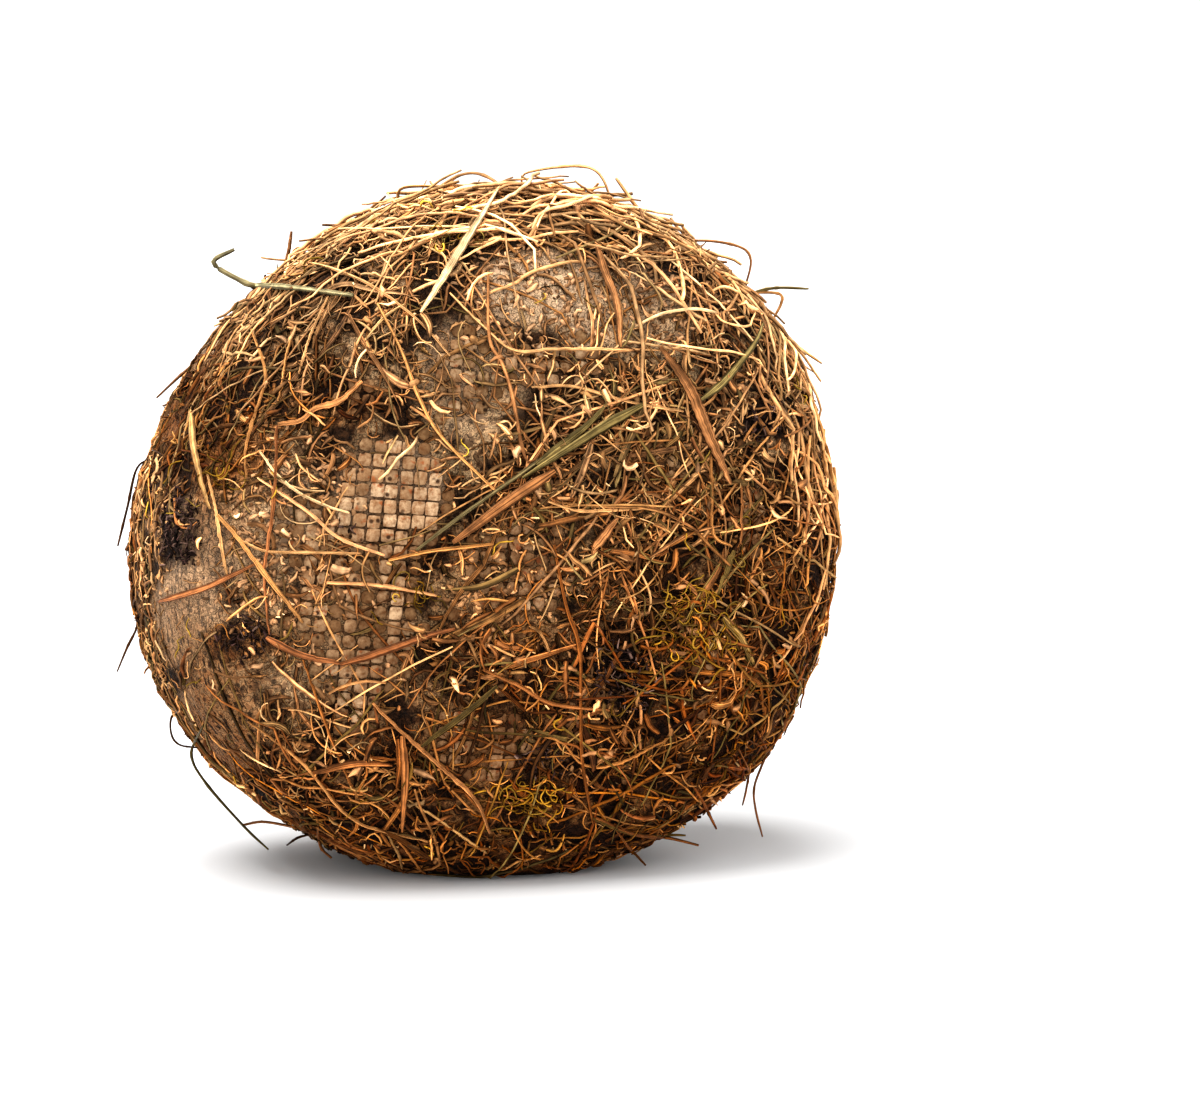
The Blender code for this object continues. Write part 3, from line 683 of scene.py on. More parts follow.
def make_traced_hay():
    """The stalks that the picture shows plainly, on top of the coat."""
    draws = np.random.default_rng(51)
    hay = Stalks("hay_traced")
    share = np.linspace(0, 1, TRACED_POINTS)
    for kind, width_mm, colour, route in TRACED.values():
        line, hit = seen_at(smooth_line(route, TRACED_POINTS))
        normals = rind_normals(line)
        width = width_mm * MM * (STEM_SHARE if kind == "stem" else BLADE_SHARE)
        height = (1.2 * MM + width / 2) * np.minimum(1.3, coat_depth(line))
        sway = 0.35 * MM * np.sin(share * draws.uniform(5, 11) + draws.uniform(0, 6))
        lift = np.pad(np.where(hit, height + sway, 0.0), TRACED_EVENED // 2, mode="edge")
        lift = np.convolve(lift, np.full(TRACED_EVENED, 1 / TRACED_EVENED), mode="valid")
        line = line + lift[:, None] * normals
        line[:, 2] = np.maximum(line[:, 2], width / 2 + 0.2 * MM)
        damp_and_painted_shade = dampness_and_painted_shade(line.mean(axis=0)[None])[:, None]
        tint = linear(colour)[None] * draws.uniform(0.8, 1.0) * painted_light_and_damp_tint(damp_and_painted_shade * 0.7)
        if kind == "stem":
            half = depth = width / 2 * stem_profile(share, draws)
            lean, section = 0 * share, round_section(7)
        else:
            half = width / 2 * (0.45 + 0.55 * np.minimum(1, share * 5)) * (1 - 0.7 * share**3)
            depth = np.full(TRACED_POINTS, BLADE_DEPTH)
            lean = draws.normal(0, 0.2) + 0.3 * np.sin(share * draws.uniform(2, 5) + draws.uniform(0, 6))
            section = BLADE_SECTION
        hay.add(line[None], normals[None], half[None], depth[None], tint, section, lean[None])
    hay.make(0.5, streak=0.4, spots=0.4, ribs=0.6)


def sample_starts(amount, density, draws):
    """Random places on the rind, as thick as the density says."""
    points, loops, counts = rind_cells()
    quads = loops[: (len(counts) - 2 * ROUND_STEPS) * 4].reshape(-1, 4)
    corners = points[quads]
    area = np.linalg.norm(np.cross(corners[:, 2] - corners[:, 0], corners[:, 3] - corners[:, 1]), axis=1)
    middles = corners.mean(axis=1)
    weights = area * density(middles)
    chosen = draws.choice(len(quads), size=amount, p=weights / weights.sum())
    mix = draws.dirichlet((1, 1, 1, 1), size=amount)
    return (corners[chosen] * mix[:, :, None]).sum(axis=1)


def hay_density(points):
    """Where hay lies: thick nearly all over, thin on the bare patches, none under the foot."""
    bare = patch_share(points, BARE_PATCHES)
    worn = np.maximum(patch_share(points, WORN_PATCHES), 1.3 * patch_share(points, MOULD_PATCHES))
    lift = smooth_step(1.0 * MM, 5 * MM, points[:, 2])
    clumps = 1 + 0.45 * ripple(points, 34 * MM, 61)
    dense = 0.75 + 0.6 * patch_share(points, DENSE_PATCHES)
    return np.clip(clumps, 0.2, None) * (1 - 0.93 * bare) * np.clip(1 - 0.62 * worn, 0.1, 1) * lift * dense


def long_hay_density(points):
    """Where long stalks lie: as hay does, but seldom over the calm patches."""
    return hay_density(points) * (1 - 0.82 * patch_share(points, CALM_PATCHES))


LONG_HAY = {"density": long_hay_density, "sway_mm": 0.12}


def courses(points, spread, draws):
    """Headings along the rind: round the rim at the rim, and every way in the middle of a face."""
    arms = points - CENTRE
    normals = rind_normals(points)
    radius = from_axis(arms) / WHEEL_RADIUS
    round_rim = np.stack([-arms[:, 2], 0 * radius, arms[:, 0]], axis=1)
    round_rim = unit(round_rim - normals * dot(round_rim, normals))
    calm = smooth_step(0.55, 0.95, radius)
    swirl = 0.9 * ripple(points, 40 * MM, 62) * (1 - 0.6 * calm)
    loose = math.pi / 2 * (1 - calm) + spread * calm
    angle = swirl + loose * draws.normal(size=len(points))
    flip = draws.choice([-1.0, 1.0], size=len(points))
    side = np.cross(normals, round_rim)
    return unit((np.cos(angle) * flip)[:, None] * round_rim + np.sin(angle)[:, None] * side)


def walk(starts, headings, lengths, steps, bend, kinks, draws):
    """Lines that cross the rind from their starts, bending as they go."""
    points = [starts]
    stride = (lengths / steps)[:, None]
    turn = bend * draws.normal(size=len(starts))
    for _ in range(steps):
        normals = rind_normals(points[-1])
        headings = headings - normals * dot(headings, normals)
        turn = 0.75 * turn + 0.55 * bend * draws.normal(size=len(starts))
        sharp = (draws.uniform(size=len(starts)) < kinks) * draws.normal(0, 0.6, len(starts))
        headings = unit(headings + (turn + sharp)[:, None] * np.cross(normals, headings))
        points.append(to_rind(points[-1] + stride * headings))
    return np.stack(points, axis=1)


def hay_tints(colours, starts, rank, bleach, damp_and_painted_shade_share, draws):
    """Linear stalk colours: bleached where dry, brown where damp, in painted light and shade, darkest deep in
    the coat.
    """
    single = rank.shape
    palette = np.array([linear(colour) for colour in colours])
    weights = np.array(list(colours.values()))
    chances = weights / weights.sum()
    first, second = (palette[draws.choice(len(palette), len(starts), p=chances)] for _ in range(2))
    mix = draws.uniform(0, 0.5, single)
    tints = first * (1 - mix) + second * mix
    damp_and_painted_shade = dampness_and_painted_shade(starts)[:, None]
    tints = tints + (linear(BLEACHED) - tints) * (bleach * (1 - damp_and_painted_shade) ** 2) * draws.uniform(0, 1, single)
    damp_and_painted_shade = damp_and_painted_shade * damp_and_painted_shade_share * draws.uniform(0.5, 1.1, single)
    painted_shade = 1 - PAINTED_SHADE_SHARE * share_of(starts, PAINTED_SHADE_PATCHES)
    tints = tints * np.clip(draws.lognormal(0, 0.42, single), 0.4, 1.9) * painted_light_and_damp_tint(damp_and_painted_shade) * painted_shade
    # Painted shade: stalks that lie low in the coat are painted darker.
    return tints * (1 - (1 - np.array(PAINTED_DEEP_SHADE)) * (1 - rank))


class Stalks:
    """Stalks of one kind, gathered batch by batch into one mesh."""

    def __init__(self, name, colours=None):
        self.name = name
        self.colours = colours
        self.parts = []
        self.total = 0

    def add(self, lines, normals, half_widths, half_depths, tints, section, twist):
        """Adds stalks swept along lines. All but the section have one row for each stalk."""
        shape = (*lines.shape[:2], len(section))
        ahead = unit(np.gradient(lines, axis=1))
        across = unit(np.cross(normals, ahead))
        out = np.cross(ahead, across)
        cos, sin = np.cos(twist)[..., None], np.sin(twist)[..., None]
        across, out = cos * across + sin * out, cos * out - sin * across
        wide = (half_widths[..., None] * section[:, 0])[..., None] * across[:, :, None]
        deep = (half_depths[..., None] * section[:, 1])[..., None] * out[:, :, None]
        spread = wide + deep
        # Painted light: each stalk is painted darker where its section faces in to the rind, paler where it
        # faces out.
        rise = dot(spread, normals[:, :, None]) / (np.linalg.norm(spread, axis=-1, keepdims=True) + 1e-9)
        painted_light = PAINTED_UNDERSIDE_SHADE + (PAINTED_TOPSIDE_HIGHLIGHT - PAINTED_UNDERSIDE_SHADE) * smooth_step(-1, 1, rise)
        tints = (tints[:, None, None, :] * painted_light).reshape(-1, 3)
        loops, counts = ring_faces(*shape[1:])
        firsts = self.total + np.arange(shape[0]) * shape[1] * shape[2]
        around = np.linspace(0, 1, shape[2], endpoint=False)
        which = (self.total % 997 + np.arange(shape[0]))[:, None, None] * 0.37
        course = np.broadcast_arrays(lengths_along(lines)[:, :, None] / MM, around, which)
        self.parts.append(
            (
                (lines[:, :, None] + spread).reshape(-1, 3),
                (loops + firsts[:, None]).ravel(),
                np.tile(counts, shape[0]),
                np.pad(tints, ((0, 0), (0, 1)), constant_values=1),
                np.stack(course, axis=-1).reshape(-1, 3),
            )
        )
        self.total += math.prod(shape)

    def lay(
        self, seed, amount, lengths_mm, widths_mm, steps, section, density=hay_density, spread=0.55,
        bend=0.08, kinks=0.06, heights_mm=(0.2, 1.8), sway_mm=0.3, loose=0.3, lift_mm=2.5,
        taper=0.35, flatness=1.0, twist=0.0, bleach=0.6, damp_and_painted_shade_share=1.0,
    ):
        """Lays a batch of stalks over the rind."""
        draws = np.random.default_rng(seed)
        starts = sample_starts(amount, density, draws)
        headings = courses(starts, spread, draws)
        length = MM * between(lengths_mm, draws.beta(1.3, 2.4, amount))
        lines = walk(starts, headings, length, steps, bend, kinks, draws)
        clear = patch_share(lines.reshape(-1, 3), CLEAR_PRINT_PATCHES).reshape(lines.shape[:2])
        kept = draws.uniform(size=amount) > CLEARED_SHARE * clear.max(axis=1)
        starts, lines = starts[kept], lines[kept]
        single = (len(starts), 1)
        share = np.linspace(0, 1, steps + 1)[None]
        rank = draws.uniform(0, 1, single)
        coat = coat_depth(starts)[:, None]
        height = between(heights_mm, rank) * coat
        height = height + sway_mm * np.sin(share * draws.uniform(4, 12, single) + draws.uniform(0, 6, single))
        for end in (share, 1 - share):
            tucked = draws.uniform(size=single) < TUCKED_SHARE
            height = height - tucked * (height + 0.4) * smooth_step(0.8, 1.0, end)
            free = ~tucked & (draws.uniform(size=single) < loose)
            height = height + free * (draws.uniform(0.5, lift_mm, single) * coat) * end**3
        flat = lines.reshape(-1, 3)
        normals = rind_normals(flat).reshape(lines.shape)
        lines = lines + (MM * height + relief(flat).reshape(height.shape))[..., None] * normals
        width = MM * between(widths_mm, draws.beta(1.2, 2.2, single))
        lines[:, :, 2] = np.maximum(lines[:, :, 2], width / 2)
        half = width / 2 * (1 - taper * share**3) * (1 - 0.3 * (1 - share) ** 8)
        tints = hay_tints(self.colours, starts, rank, bleach, damp_and_painted_shade_share, draws)
        twist = draws.normal(0, twist + 1e-3, single) * (share - 0.5)
        twist = twist + draws.normal(0, 0.35, single)
        self.add(lines, normals, half, half * flatness, tints, section, twist)

    def make(self, roughness, **looks):
        """Makes the piece of the stalks, with its material."""
        points, loops, counts, tints, course = (np.concatenate(part) for part in zip(*self.parts))
        piece = mesh_object(self.name, points, loops, counts, {"tint": tints, "course": course})
        finish_piece(piece, hay_material(self.name, roughness, **looks))


def mat_density(points):
    """Where the thick mat of straw lies: over the top of the rim, and down one side of it."""
    arms = (points - CENTRE) / WHEEL_RADIUS
    rim = smooth_step(0.72, 0.95, from_axis(arms))
    lean = 0.65 * np.maximum(arms[:, 0], 0) - 0.9 * np.maximum(-arms[:, 0], 0)
    thin = np.maximum(0.7 * patch_share(points, WORN_PATCHES), 0.9 * patch_share(points, BARE_PATCHES))
    return (rim * smooth_step(0.45, 0.8, arms[:, 2] + lean) + 0.002) * (1 - thin)


def make_straw():
    """Pale and golden stems."""
    hay = Stalks("hay_straw", {PALE_STRAW: 2, STRAW: 4, GOLD: 2, OLIVE: 1})
    hay.lay(71, 240, (30, 80), (0.5, 1.2), 18, STEM_SECTION, bend=0.045, bleach=0.4, **LONG_HAY)
    hay.lay(72, 1150, (7, 28), (0.45, 1.4), 8, THIN_SECTION, bend=0.18)
    hay.make(0.6)


def make_mat():
    """The mat of long straw over the top."""
    hay = Stalks("hay_mat", {PALE_STRAW: 4, STRAW: 5, PINK_BROWN: 5, GOLD: 2, OLIVE: 1})
    hay.lay(
        83, 440, (20, 70), (0.7, 1.8), 18, STEM_SECTION, density=mat_density, spread=0.35, bend=0.07,
        kinks=0.1, heights_mm=(0.6, 2.6), sway_mm=0.25, loose=0.6, lift_mm=3.5, bleach=0.9,
    )
    hay.make(0.6)


def make_brown_stems():
    """Tan, rust and brown stems."""
    colours = {TAN: 5, RUST: 2, RED_BROWN: 2, RED_LEAF: 1, UMBER: 3, GOLD: 1, OLIVE: 2}
    hay = Stalks("hay_brown", colours)
    hay.lay(73, 300, (25, 75), (0.6, 1.2), 16, STEM_SECTION, bend=0.04, **LONG_HAY)
    hay.lay(74, 1500, (5, 22), (0.6, 2.0), 6, THIN_SECTION, bend=0.24)
    hay.make(0.55)


def blade_density(points):
    """Where broad blades lie: as long stalks do, and thicker on the dense patches."""
    return long_hay_density(points) * (0.4 + patch_share(points, DENSE_PATCHES))


def make_blades():
    """Flat dry blades."""
    colours = {STRAW: 2, GOLD: 1, TAN: 4, RUST: 1, RED_LEAF: 1, UMBER: 2, PINK_BROWN: 2, OLIVE: 2}
    hay = Stalks("hay_blades", colours)
    blade = {"flatness": 0.22, "taper": 0.75, "twist": 1.6, "density": blade_density}
    hay.lay(75, 250, (16, 50), (1.3, 3.0), 12, BLADE_SECTION, bend=0.06, **blade)
    blade["density"] = hay_density
    hay.lay(76, 2000, (3, 15), (1.0, 2.9), 5, FLAT_SECTION, bend=0.25, **blade)
    hay.make(0.55, ribs=0.6)


def green_density(points):
    """Where green hay lies: as hay does, and thicker on the damp patches."""
    return hay_density(points) * (1 + 2.5 * patch_share(points, DAMP_PATCHES))


def make_green_hay():
    """Olive and green blades and stems that kept their colour."""
    hay = Stalks("hay_green", {OLIVE: 3, GREEN: 2, GREY_GREEN: 2})
    hay.lay(77, 110, (25, 70), (0.6, 1.3), 16, STEM_SECTION, bend=0.035, **LONG_HAY)
    hay.lay(
        78, 420, (6, 26), (0.4, 1.2), 6, FLAT_SECTION,
        density=green_density, bend=0.15, flatness=0.3, twist=1.2,
    )
    hay.make(0.5)


def make_curls():
    """Short bright curls that stand out of the coat."""
    hay = Stalks("hay_curls", {PALE_STRAW: 2, STRAW: 4, GOLD: 3, TAN: 2, OLIVE: 1})
    hay.lay(
        84, 1900, (4, 12), (0.4, 1.2), 6, THIN_SECTION,
        spread=2.0, bend=0.5, kinks=0.1, heights_mm=(0.4, 2.2), sway_mm=0.6,
    )
    hay.make(0.6)


def make_fibres(name, seed, colours, widths_mm, roughness):
    """The fine, curly undercoat close to the rind."""
    hay = Stalks(name, colours)
    hay.lay(
        seed, 2350, (3, 10), widths_mm, 5, THIN_SECTION,
        spread=1.2, bend=0.6, kinks=0.15, heights_mm=(0.0, 1.2), loose=0.5,
    )
    hay.make(roughness)


def make_chaff():
    """Small flakes and crumbs of leaf and seed husk."""
    hay = Stalks("hay_chaff", {PALE_STRAW: 2, STRAW: 3, TAN: 4, RUST: 2, UMBER: 3})
    flake = {"flatness": 0.25, "taper": 0.9, "spread": 1.5, "heights_mm": (0.1, 1.2)}
    hay.lay(81, 2100, (1.2, 5), (0.6, 1.9), 2, FLAT_SECTION, bend=0.2, **flake)
    flake.update({"heights_mm": (1.0, 2.2), "damp_and_painted_shade_share": 0.5, "bleach": 0.2})
    hay.colours = {PALE_STRAW: 1}
    hay.lay(87, 550, (0.8, 2.4), (0.4, 1.0), 2, FLAT_SECTION, bend=0.2, **flake)
    flake.update({"density": blade_density, "twist": 1.0})
    hay.colours = {STRAW: 2, PINK_BROWN: 2, RIND_PALE: 2, TAN: 2, OLIVE: 1}
    hay.lay(88, 380, (3.5, 9), (1.4, 3.0), 4, FLAT_SECTION, bend=0.35, **flake)
    hay.make(0.6)


def scab_density(points):
    """Where the rind's scabs lie: thinly all over, and thick on the scabby patches."""
    return 0.3 + 9 * patch_share(points, SCABBY_PATCHES)


def make_scabs():
    """Curled scabs of the rind, half sunk in it."""
    hay = Stalks("rind_scabs", {RIND_SCAB: 3, RIND_PALE: 2})
    hay.lay(
        85, 2900, (1.4, 5.5), (0.8, 2.3), 3, FLAT_SECTION, density=scab_density, spread=3.0, bend=0.9,
        kinks=0.3, heights_mm=(0.0, 0.6), loose=0.0, taper=0.5, flatness=0.35, bleach=0.0,
    )
    hay.make(0.7)


def moss_density(points):
    """Where the curly yellow-green tendrils grow."""
    return patch_share(points, MOSS_PATCHES) + 0.006


def make_moss():
    """Curly yellow-green tendrils."""
    hay = Stalks("moss", {MOSS: 3, OLIVE: 1})
    hay.lay(
        82, 420, (5, 14), (0.4, 0.85), 9, THIN_SECTION, density=moss_density, spread=3.0, bend=0.6,
        heights_mm=(1.2, 3.0), sway_mm=0.6, bleach=0.0, damp_and_painted_shade_share=0.85,
    )
    hay.make(0.6)


def mould_density(points):
    """Where the dark mould grows."""
    return patch_share(points, MOULD_PATCHES)


def make_mould():
    """Short, dark, woolly mould."""
    hay = Stalks("mould", {MOULD_DARK: 4, MOULD_GREY: 1})
    hay.lay(
        86, 800, (1.5, 5), (0.4, 1.1), 3, THIN_SECTION, density=mould_density, spread=3.0, bend=0.8,
        heights_mm=(0.4, 2.3), sway_mm=0.4, bleach=0.0, damp_and_painted_shade_share=0.0,
    )
    hay.make(0.8)


class Nodes:
    """A short way to write a material's nodes."""

    def __init__(self, name):
        self.material = bpy.data.materials.new(name)
        self.material.use_nodes = True
        self.tree = self.material.node_tree
        self.inputs = self.tree.nodes["Principled BSDF"].inputs

    def node(self, kind, inputs=None, **settings):
        """A node of the kind, with its settings and inputs. An input that is a socket is linked."""
        made = self.tree.nodes.new("ShaderNode" + kind)
        for setting, value in settings.items():
            setattr(made, setting, value)
        for socket, value in (inputs or {}).items():
            self.feed(made.inputs[socket], value)
        return made

    def feed(self, socket, value):
        """Links or sets an input."""
        if isinstance(value, bpy.types.NodeSocket):
            self.tree.links.new(value, socket)
        else:
            socket.default_value = value

    def attribute(self, name, output="Vector"):
        """A point attribute."""
        return self.node("Attribute", attribute_name=name).outputs[output]

    def place(self):
        """The place on the wheel, in metres."""
        return self.node("TexCoord").outputs["Object"]

    def split(self, vector):
        """A vector's three numbers."""
        return self.node("SeparateXYZ", {0: vector}).outputs

    def stretched(self, vector, scale):
        """A vector with each of its numbers scaled."""
        return self.node("Mapping", {"Vector": vector, "Scale": scale}).outputs[0]

    def noise(self, vector, scale, detail=3.0, roughness=0.55):
        """Noise between 0 and 1."""
        inputs = {"Vector": vector, "Scale": scale, "Detail": detail, "Roughness": roughness}
        return self.node("TexNoise", inputs).outputs["Fac"]

    def veins(self, vector, scale, detail):
        """0 on winding lines, and more beside them."""
        noise = self.noise(vector, scale, detail, 0.5)
        return self.math("ABSOLUTE", self.math("SUBTRACT", noise, 0.5))

    def holes(self, vector, scale, low, high):
        """1 in round holes scattered in cells, and 0 between them."""
        cells = self.node("TexVoronoi", {"Vector": vector, "Scale": scale}).outputs["Distance"]
        return self.ramp(cells, low, high, 1.0, 0.0)

    def math(self, operation, first, second=0.0):
        """A sum of two numbers, or another operation on them."""
        return self.node("Math", {0: first, 1: second}, operation=operation).outputs[0]

    def times(self, first, second):
        """The product of two numbers."""
        return self.math("MULTIPLY", first, second)

    def ramp(self, value, low, high, low_out=0.0, high_out=1.0):
        """The value's stretch from low to high, mapped to another and held at its ends."""
        inputs = {"Value": value, 1: low, 2: high, 3: low_out, 4: high_out}
        return self.node("MapRange", inputs).outputs[0]

    def mix(self, share, first, second, blend="MIX"):
        """A mix of two colours."""
        made = self.node("Mix", {0: share, 6: first, 7: second}, data_type="RGBA", blend_type=blend)
        return made.outputs[2]

    def cover(self, colour, over, share, most=1.0):
        """The colour under another, from 0 to 255 sRGB, whose share is so much at most."""
        return self.mix(share if most == 1 else self.times(share, most), colour, rgba(over))

    def tint(self, colour, factors, share):
        """The colour multiplied by three factors, by a share."""
        return self.mix(share, colour, (*factors, 1.0), "MULTIPLY")

    def bump(self, height, distance, strength, normal=None):
        """A bump of so many metres."""
        inputs = {"Height": height, "Distance": distance, "Strength": strength}
        if normal is not None:
            inputs["Normal"] = normal
        return self.node("Bump", inputs).outputs["Normal"]

    def finish(self, colour, roughness, shine, normal):
        """The material with its look."""
        looks = {"Base Color": colour, "Roughness": roughness, "Specular IOR Level": shine, "Normal": normal}
        for name, value in looks.items():
            self.feed(self.inputs[name], value)
        return self.material


def rgba(colour):
    """A 0 to 255 sRGB colour as a node takes it."""
    return (*linear(colour), 1.0)


def hay_material(name, roughness, streak=0.5, spots=0.55, ribs=0.0):
    """Dry grass: each stalk's own tint, streaked and ribbed along its length and darkened in spots."""
    nodes = Nodes(name)
    course = nodes.attribute("course")
    streaks = nodes.noise(nodes.stretched(course, (0.12, 5.0, 1.0)), 1.6, 4.0)
    patches = nodes.noise(course, 0.22, 2.0)
    dull = nodes.ramp(streaks, 0.3, 0.7, 1 - streak, 1 + streak)
    worn = nodes.ramp(patches, 0.35, 0.65, 1 - spots, 1.12)
    lines = nodes.noise(nodes.stretched(course, (0.012, 5.0, 1.0)), 1.6, 1.0)
    grooves = nodes.ramp(lines, 0.45, 0.55, 1 - ribs, 1 + 0.25 * ribs)
    shade = nodes.times(nodes.times(dull, worn), grooves)
    grey = nodes.node("CombineColor", {0: shade, 1: shade, 2: shade}).outputs[0]
    colour = nodes.mix(1.0, nodes.attribute("tint", "Color"), grey, "MULTIPLY")
    dullness = nodes.ramp(streaks, 0.2, 0.8, roughness - 0.1, roughness + 0.15)
    height = nodes.math("ADD", streaks, nodes.times(grooves, 2 * ribs))
    return nodes.finish(colour, dullness, 0.08, nodes.bump(height, 0.2 * MM, 0.8))


def rind_material():
    """Aged rind: pale tan to brown, pitted, with painted shade in its hollows, painted highlights on its
    ridges, and dark mould.
    """
    nodes = Nodes("rind")
    place = nodes.place()
    bare, mould, grooved = nodes.split(nodes.attribute("marks"))
    damp_and_painted_shade = nodes.attribute("damp_and_painted_shade", "Fac")
    girth = nodes.attribute("girth")
    rim = nodes.split(girth)[2]
    broad = nodes.noise(place, 90.0, 4.0)
    fine = nodes.noise(place, 420.0, 5.0, 0.65)
    grain = nodes.noise(place, 1500.0, 3.0, 0.6)
    folds = nodes.veins(place, 300.0, 3.0)
    ridges = nodes.ramp(folds, 0.0, 0.06, 1.0, 0.0)
    creases = nodes.ramp(nodes.veins(place, 430.0, 2.0), 0.006, 0.024, 1.0, 0.0)
    pits = nodes.holes(place, 250.0, 0.14, 0.22)
    around = nodes.noise(nodes.stretched(girth, (0.10, 0.42, 0.0)), 2.2, 5.0, 0.65)
    cracks = nodes.times(rim, nodes.ramp(around, 0.555, 0.59))
    colour = nodes.mix(nodes.ramp(broad, 0.35, 0.65), rgba((180, 138, 92)), rgba((230, 188, 140)))
    colour = nodes.cover(colour, (104, 70, 44), nodes.ramp(fine, 0.48, 0.78))
    # Pale ridges: partly mould bloom, partly painted highlight. Painted shade between them and in the
    # creases.
    colour = nodes.cover(colour, (236, 204, 160), ridges, 0.75)
    colour = nodes.cover(colour, (66, 44, 26), nodes.ramp(folds, 0.08, 0.11), 0.8)
    colour = nodes.cover(colour, (70, 46, 26), creases, 0.6)
    colour = nodes.cover(colour, (152, 104, 62), rim, 0.6)
    # Painted shade: where hay covers the rind it is painted near black; its colour shows where it lies open.
    rind_in_painted_shade = nodes.mix(nodes.ramp(fine, 0.35, 0.65), rgba((24, 15, 8)), rgba((72, 48, 28)))
    open_share = nodes.math("ADD", bare, nodes.ramp(broad, 0.47, 0.62, 0.0, 0.65))
    colour = nodes.mix(nodes.ramp(open_share, 0.1, 0.8), rind_in_painted_shade, colour)
    filled = nodes.mix(nodes.ramp(fine, 0.45, 0.6), rgba((40, 25, 14)), rgba((104, 74, 48)))
    colour = nodes.mix(nodes.times(grooved, 0.9), colour, filled)
    # Painted shade in the pits and in the rim's cracks.
    colour = nodes.cover(colour, (38, 22, 12), pits, 0.8)
    colour = nodes.cover(colour, (46, 27, 14), cracks, 0.95)
    colour = nodes.cover(colour, (34, 24, 23), mould, nodes.ramp(fine, 0.3, 0.6))
    # Dry bare rind painted paler, damp rind darker: damp stains, with painted light on top and painted shade
    # below.
    colour = nodes.cover(colour, (250, 214, 178), bare, nodes.ramp(damp_and_painted_shade, 0.35, 0.0, 0.0, 0.4))
    colour = nodes.tint(colour, (0.62, 0.35, 0.13), nodes.times(damp_and_painted_shade, 0.85))
    height = nodes.math("SUBTRACT", nodes.math("ADD", fine, ridges), nodes.math("ADD", pits, creases))
    hollow = nodes.bump(nodes.math("SUBTRACT", height, cracks), 1.2 * MM, 1.0)
    normal = nodes.bump(grain, 0.15 * MM, 0.5, hollow)
    return nodes.finish(colour, nodes.ramp(fine, 0.2, 0.8, 0.6, 0.9), 0.12, normal)


def stud_material():
    """The print's studs: pale and dusty on top, brown at their edges, with pinholes and rusty spots."""
    nodes = Nodes("print")
    place = nodes.place()
    own, edge, strength = nodes.split(nodes.attribute("marks"))
    fine = nodes.noise(place, 600.0, 5.0, 0.65)
    dust = nodes.ramp(nodes.noise(place, 140.0, 3.0), 0.42, 0.62, 0.0, 0.45)
    rusty = nodes.ramp(nodes.noise(place, 380.0, 2.0), 0.62, 0.7, 0.0, 0.8)
    holes = nodes.holes(place, 260.0, 0.10, 0.20)
    colour = nodes.mix(own, rgba((232, 200, 162)), rgba((186, 150, 112)))
    colour = nodes.cover(colour, (140, 100, 66), nodes.ramp(fine, 0.38, 0.66))
    colour = nodes.cover(colour, (132, 98, 66), dust)
    colour = nodes.cover(colour, (160, 92, 50), rusty)
    colour = nodes.cover(colour, (70, 44, 24), nodes.ramp(edge, 0.8, 1.0))
    # Painted shade in the pinholes.
    colour = nodes.cover(colour, (50, 26, 12), holes, 0.9)
    colour = nodes.tint(colour, (0.42, 0.36, 0.28), nodes.ramp(strength, 1.0, 0.45))
    # Damp stains, with painted shade towards the foot.
    colour = nodes.tint(colour, (0.6, 0.42, 0.28), nodes.times(nodes.attribute("damp_and_painted_shade", "Fac"), 0.7))
    normal = nodes.bump(nodes.math("SUBTRACT", fine, holes), 0.6 * MM, 0.8)
    return nodes.finish(colour, nodes.ramp(fine, 0.2, 0.8, 0.55, 0.85), 0.12, normal)


def make_stage():
    """A white floor under a plain white sky, which looks brighter than the light it gives."""
    bpy.ops.mesh.primitive_plane_add(size=12)
    floor = bpy.context.object
    floor.name = "floor"
    nodes = Nodes("floor")
    nodes.inputs["Base Color"].default_value = (0.62, 0.62, 0.62, 1)
    nodes.inputs["Emission Color"].default_value = (1, 1, 1, 1)
    nodes.inputs["Emission Strength"].default_value = 0.03
    nodes.inputs["Roughness"].default_value = 0.8
    floor.data.materials.append(nodes.material)
    floor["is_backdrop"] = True
    world = bpy.data.worlds.new("studio")
    bpy.context.scene.world = world
    world.use_nodes = True
    tree = world.node_tree
    sky = tree.nodes["Background"]
    sky.inputs["Color"].default_value = (1, 1, 1, 1)
    seen = tree.nodes.new("ShaderNodeLightPath").outputs["Is Camera Ray"]
    strength = tree.nodes.new("ShaderNodeMapRange")
    strength.inputs[3].default_value = 0.34
    strength.inputs[4].default_value = 1.05
    tree.links.new(seen, strength.inputs["Value"])
    tree.links.new(strength.outputs[0], sky.inputs["Strength"])


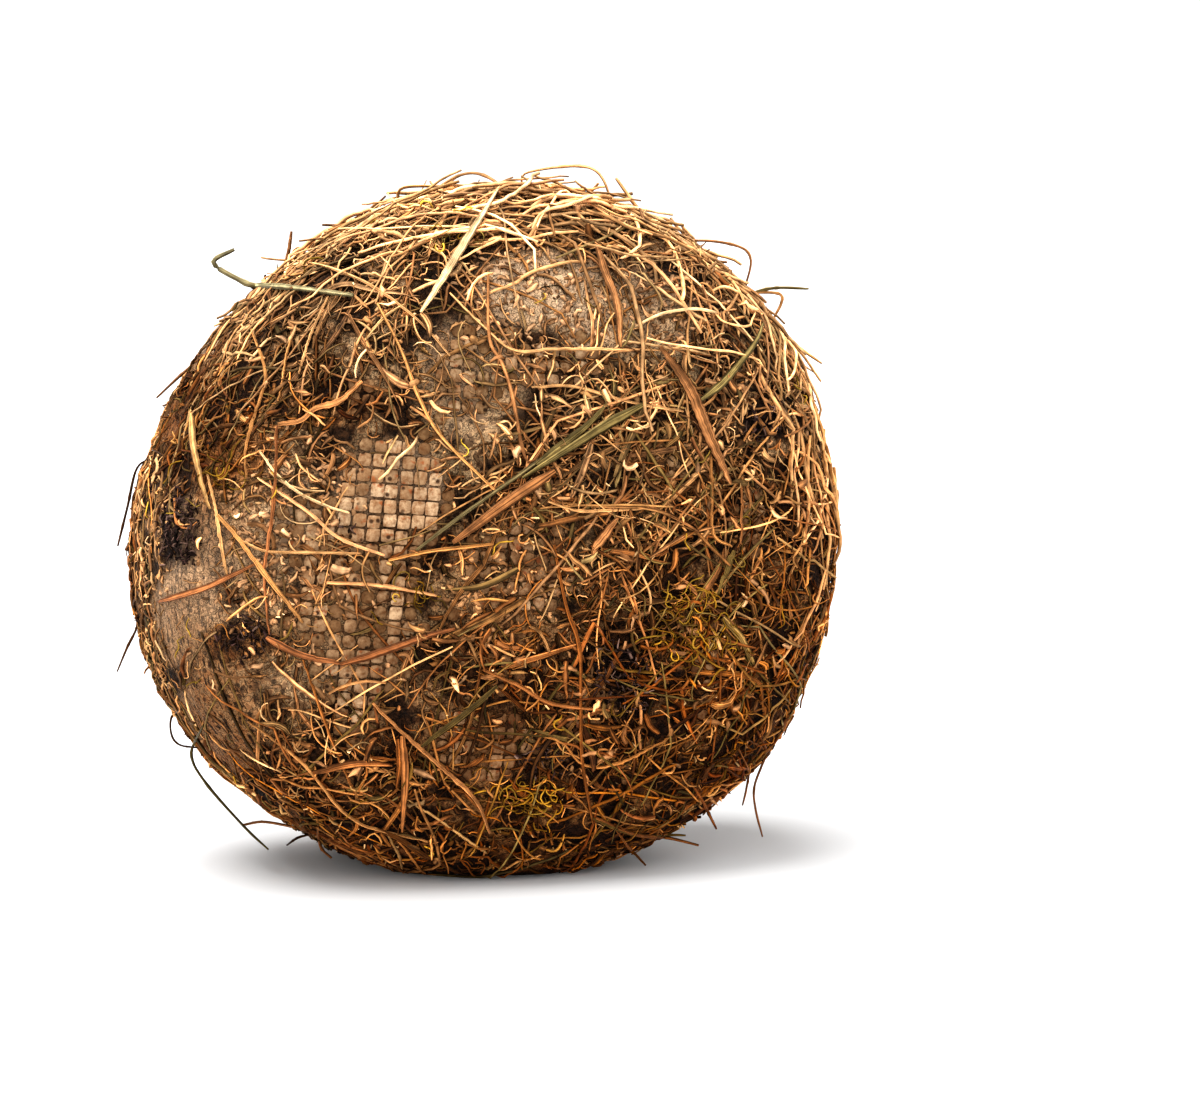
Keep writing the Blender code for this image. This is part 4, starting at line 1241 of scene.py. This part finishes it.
def add_sun(name, place, strength, softness):
    """Even light from the direction of a place, as soft as a lamp so many degrees wide."""
    lamp = bpy.data.lights.new(name, "SUN")
    lamp.energy = strength
    lamp.angle = math.radians(softness)
    made = bpy.data.objects.new(name, lamp)
    made.rotation_euler = Vector(place).to_track_quat("Z", "Y").to_euler()
    bpy.context.scene.collection.objects.link(made)


def make_lights():
    """Wide, soft light from above, and a little from the front and from behind."""
    add_sun("top", (-0.28, 0.0, 1.0), 4.45, 50)
    add_sun("front", (-0.4, -1.0, 0.8), 2.1, 60)
    add_sun("back", (0.9, 0.7, 0.5), 1.6, 60)


def make_camera():
    """The camera at the eye, turned so that the wheel stands left of the middle, as pictured."""
    eye, right, up = eye_axes()
    offset = (PICTURE_SIZE / 2 - PICTURE_CENTRE) / PICTURE_SCALE * MM
    target = CENTRE + offset[0] * right - offset[1] * up
    camera = bpy.data.cameras.new("camera")
    camera.sensor_fit = "HORIZONTAL"
    camera.sensor_width = 36
    camera.lens = 36 * EYE_DISTANCE * PICTURE_SCALE / MM / PICTURE_SIZE[0]
    camera.clip_start = 0.05
    camera.clip_end = 30
    made = bpy.data.objects.new("camera", camera)
    made.location = eye
    made.rotation_euler = Vector(target - eye).to_track_quat("-Z", "Y").to_euler()
    bpy.context.scene.collection.objects.link(made)
    bpy.context.scene.camera = made


def finish_piece(piece, material):
    """Gives a piece its material and fixes it to the wheel."""
    piece.data.materials.append(material)
    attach(piece, "root")
    return piece


def main():
    make_camera()
    make_stage()
    make_lights()
    rind = finish_piece(make_rind(), rind_material())
    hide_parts("cheese_wheel")
    finish_piece(make_studs(), stud_material())
    make_traced_hay()
    make_straw()
    make_mat()
    make_curls()
    make_brown_stems()
    make_blades()
    make_green_hay()
    pale = {STRAW: 3, GOLD: 2, TAN: 3, PINK_BROWN: 2, OLIVE: 2}
    dark = {TAN: 2, RUST: 3, UMBER: 4, DARK: 2}
    make_fibres("fibres_pale", 79, pale, (0.35, 0.85), 0.5)
    make_fibres("fibres_dark", 80, dark, (0.35, 0.9), 0.6)
    make_chaff()
    make_scabs()
    make_moss()
    make_mould()
    bpy.context.scene.view_settings.view_transform = "Standard"
    bpy.context.scene.view_settings.look = "Medium High Contrast"


main()
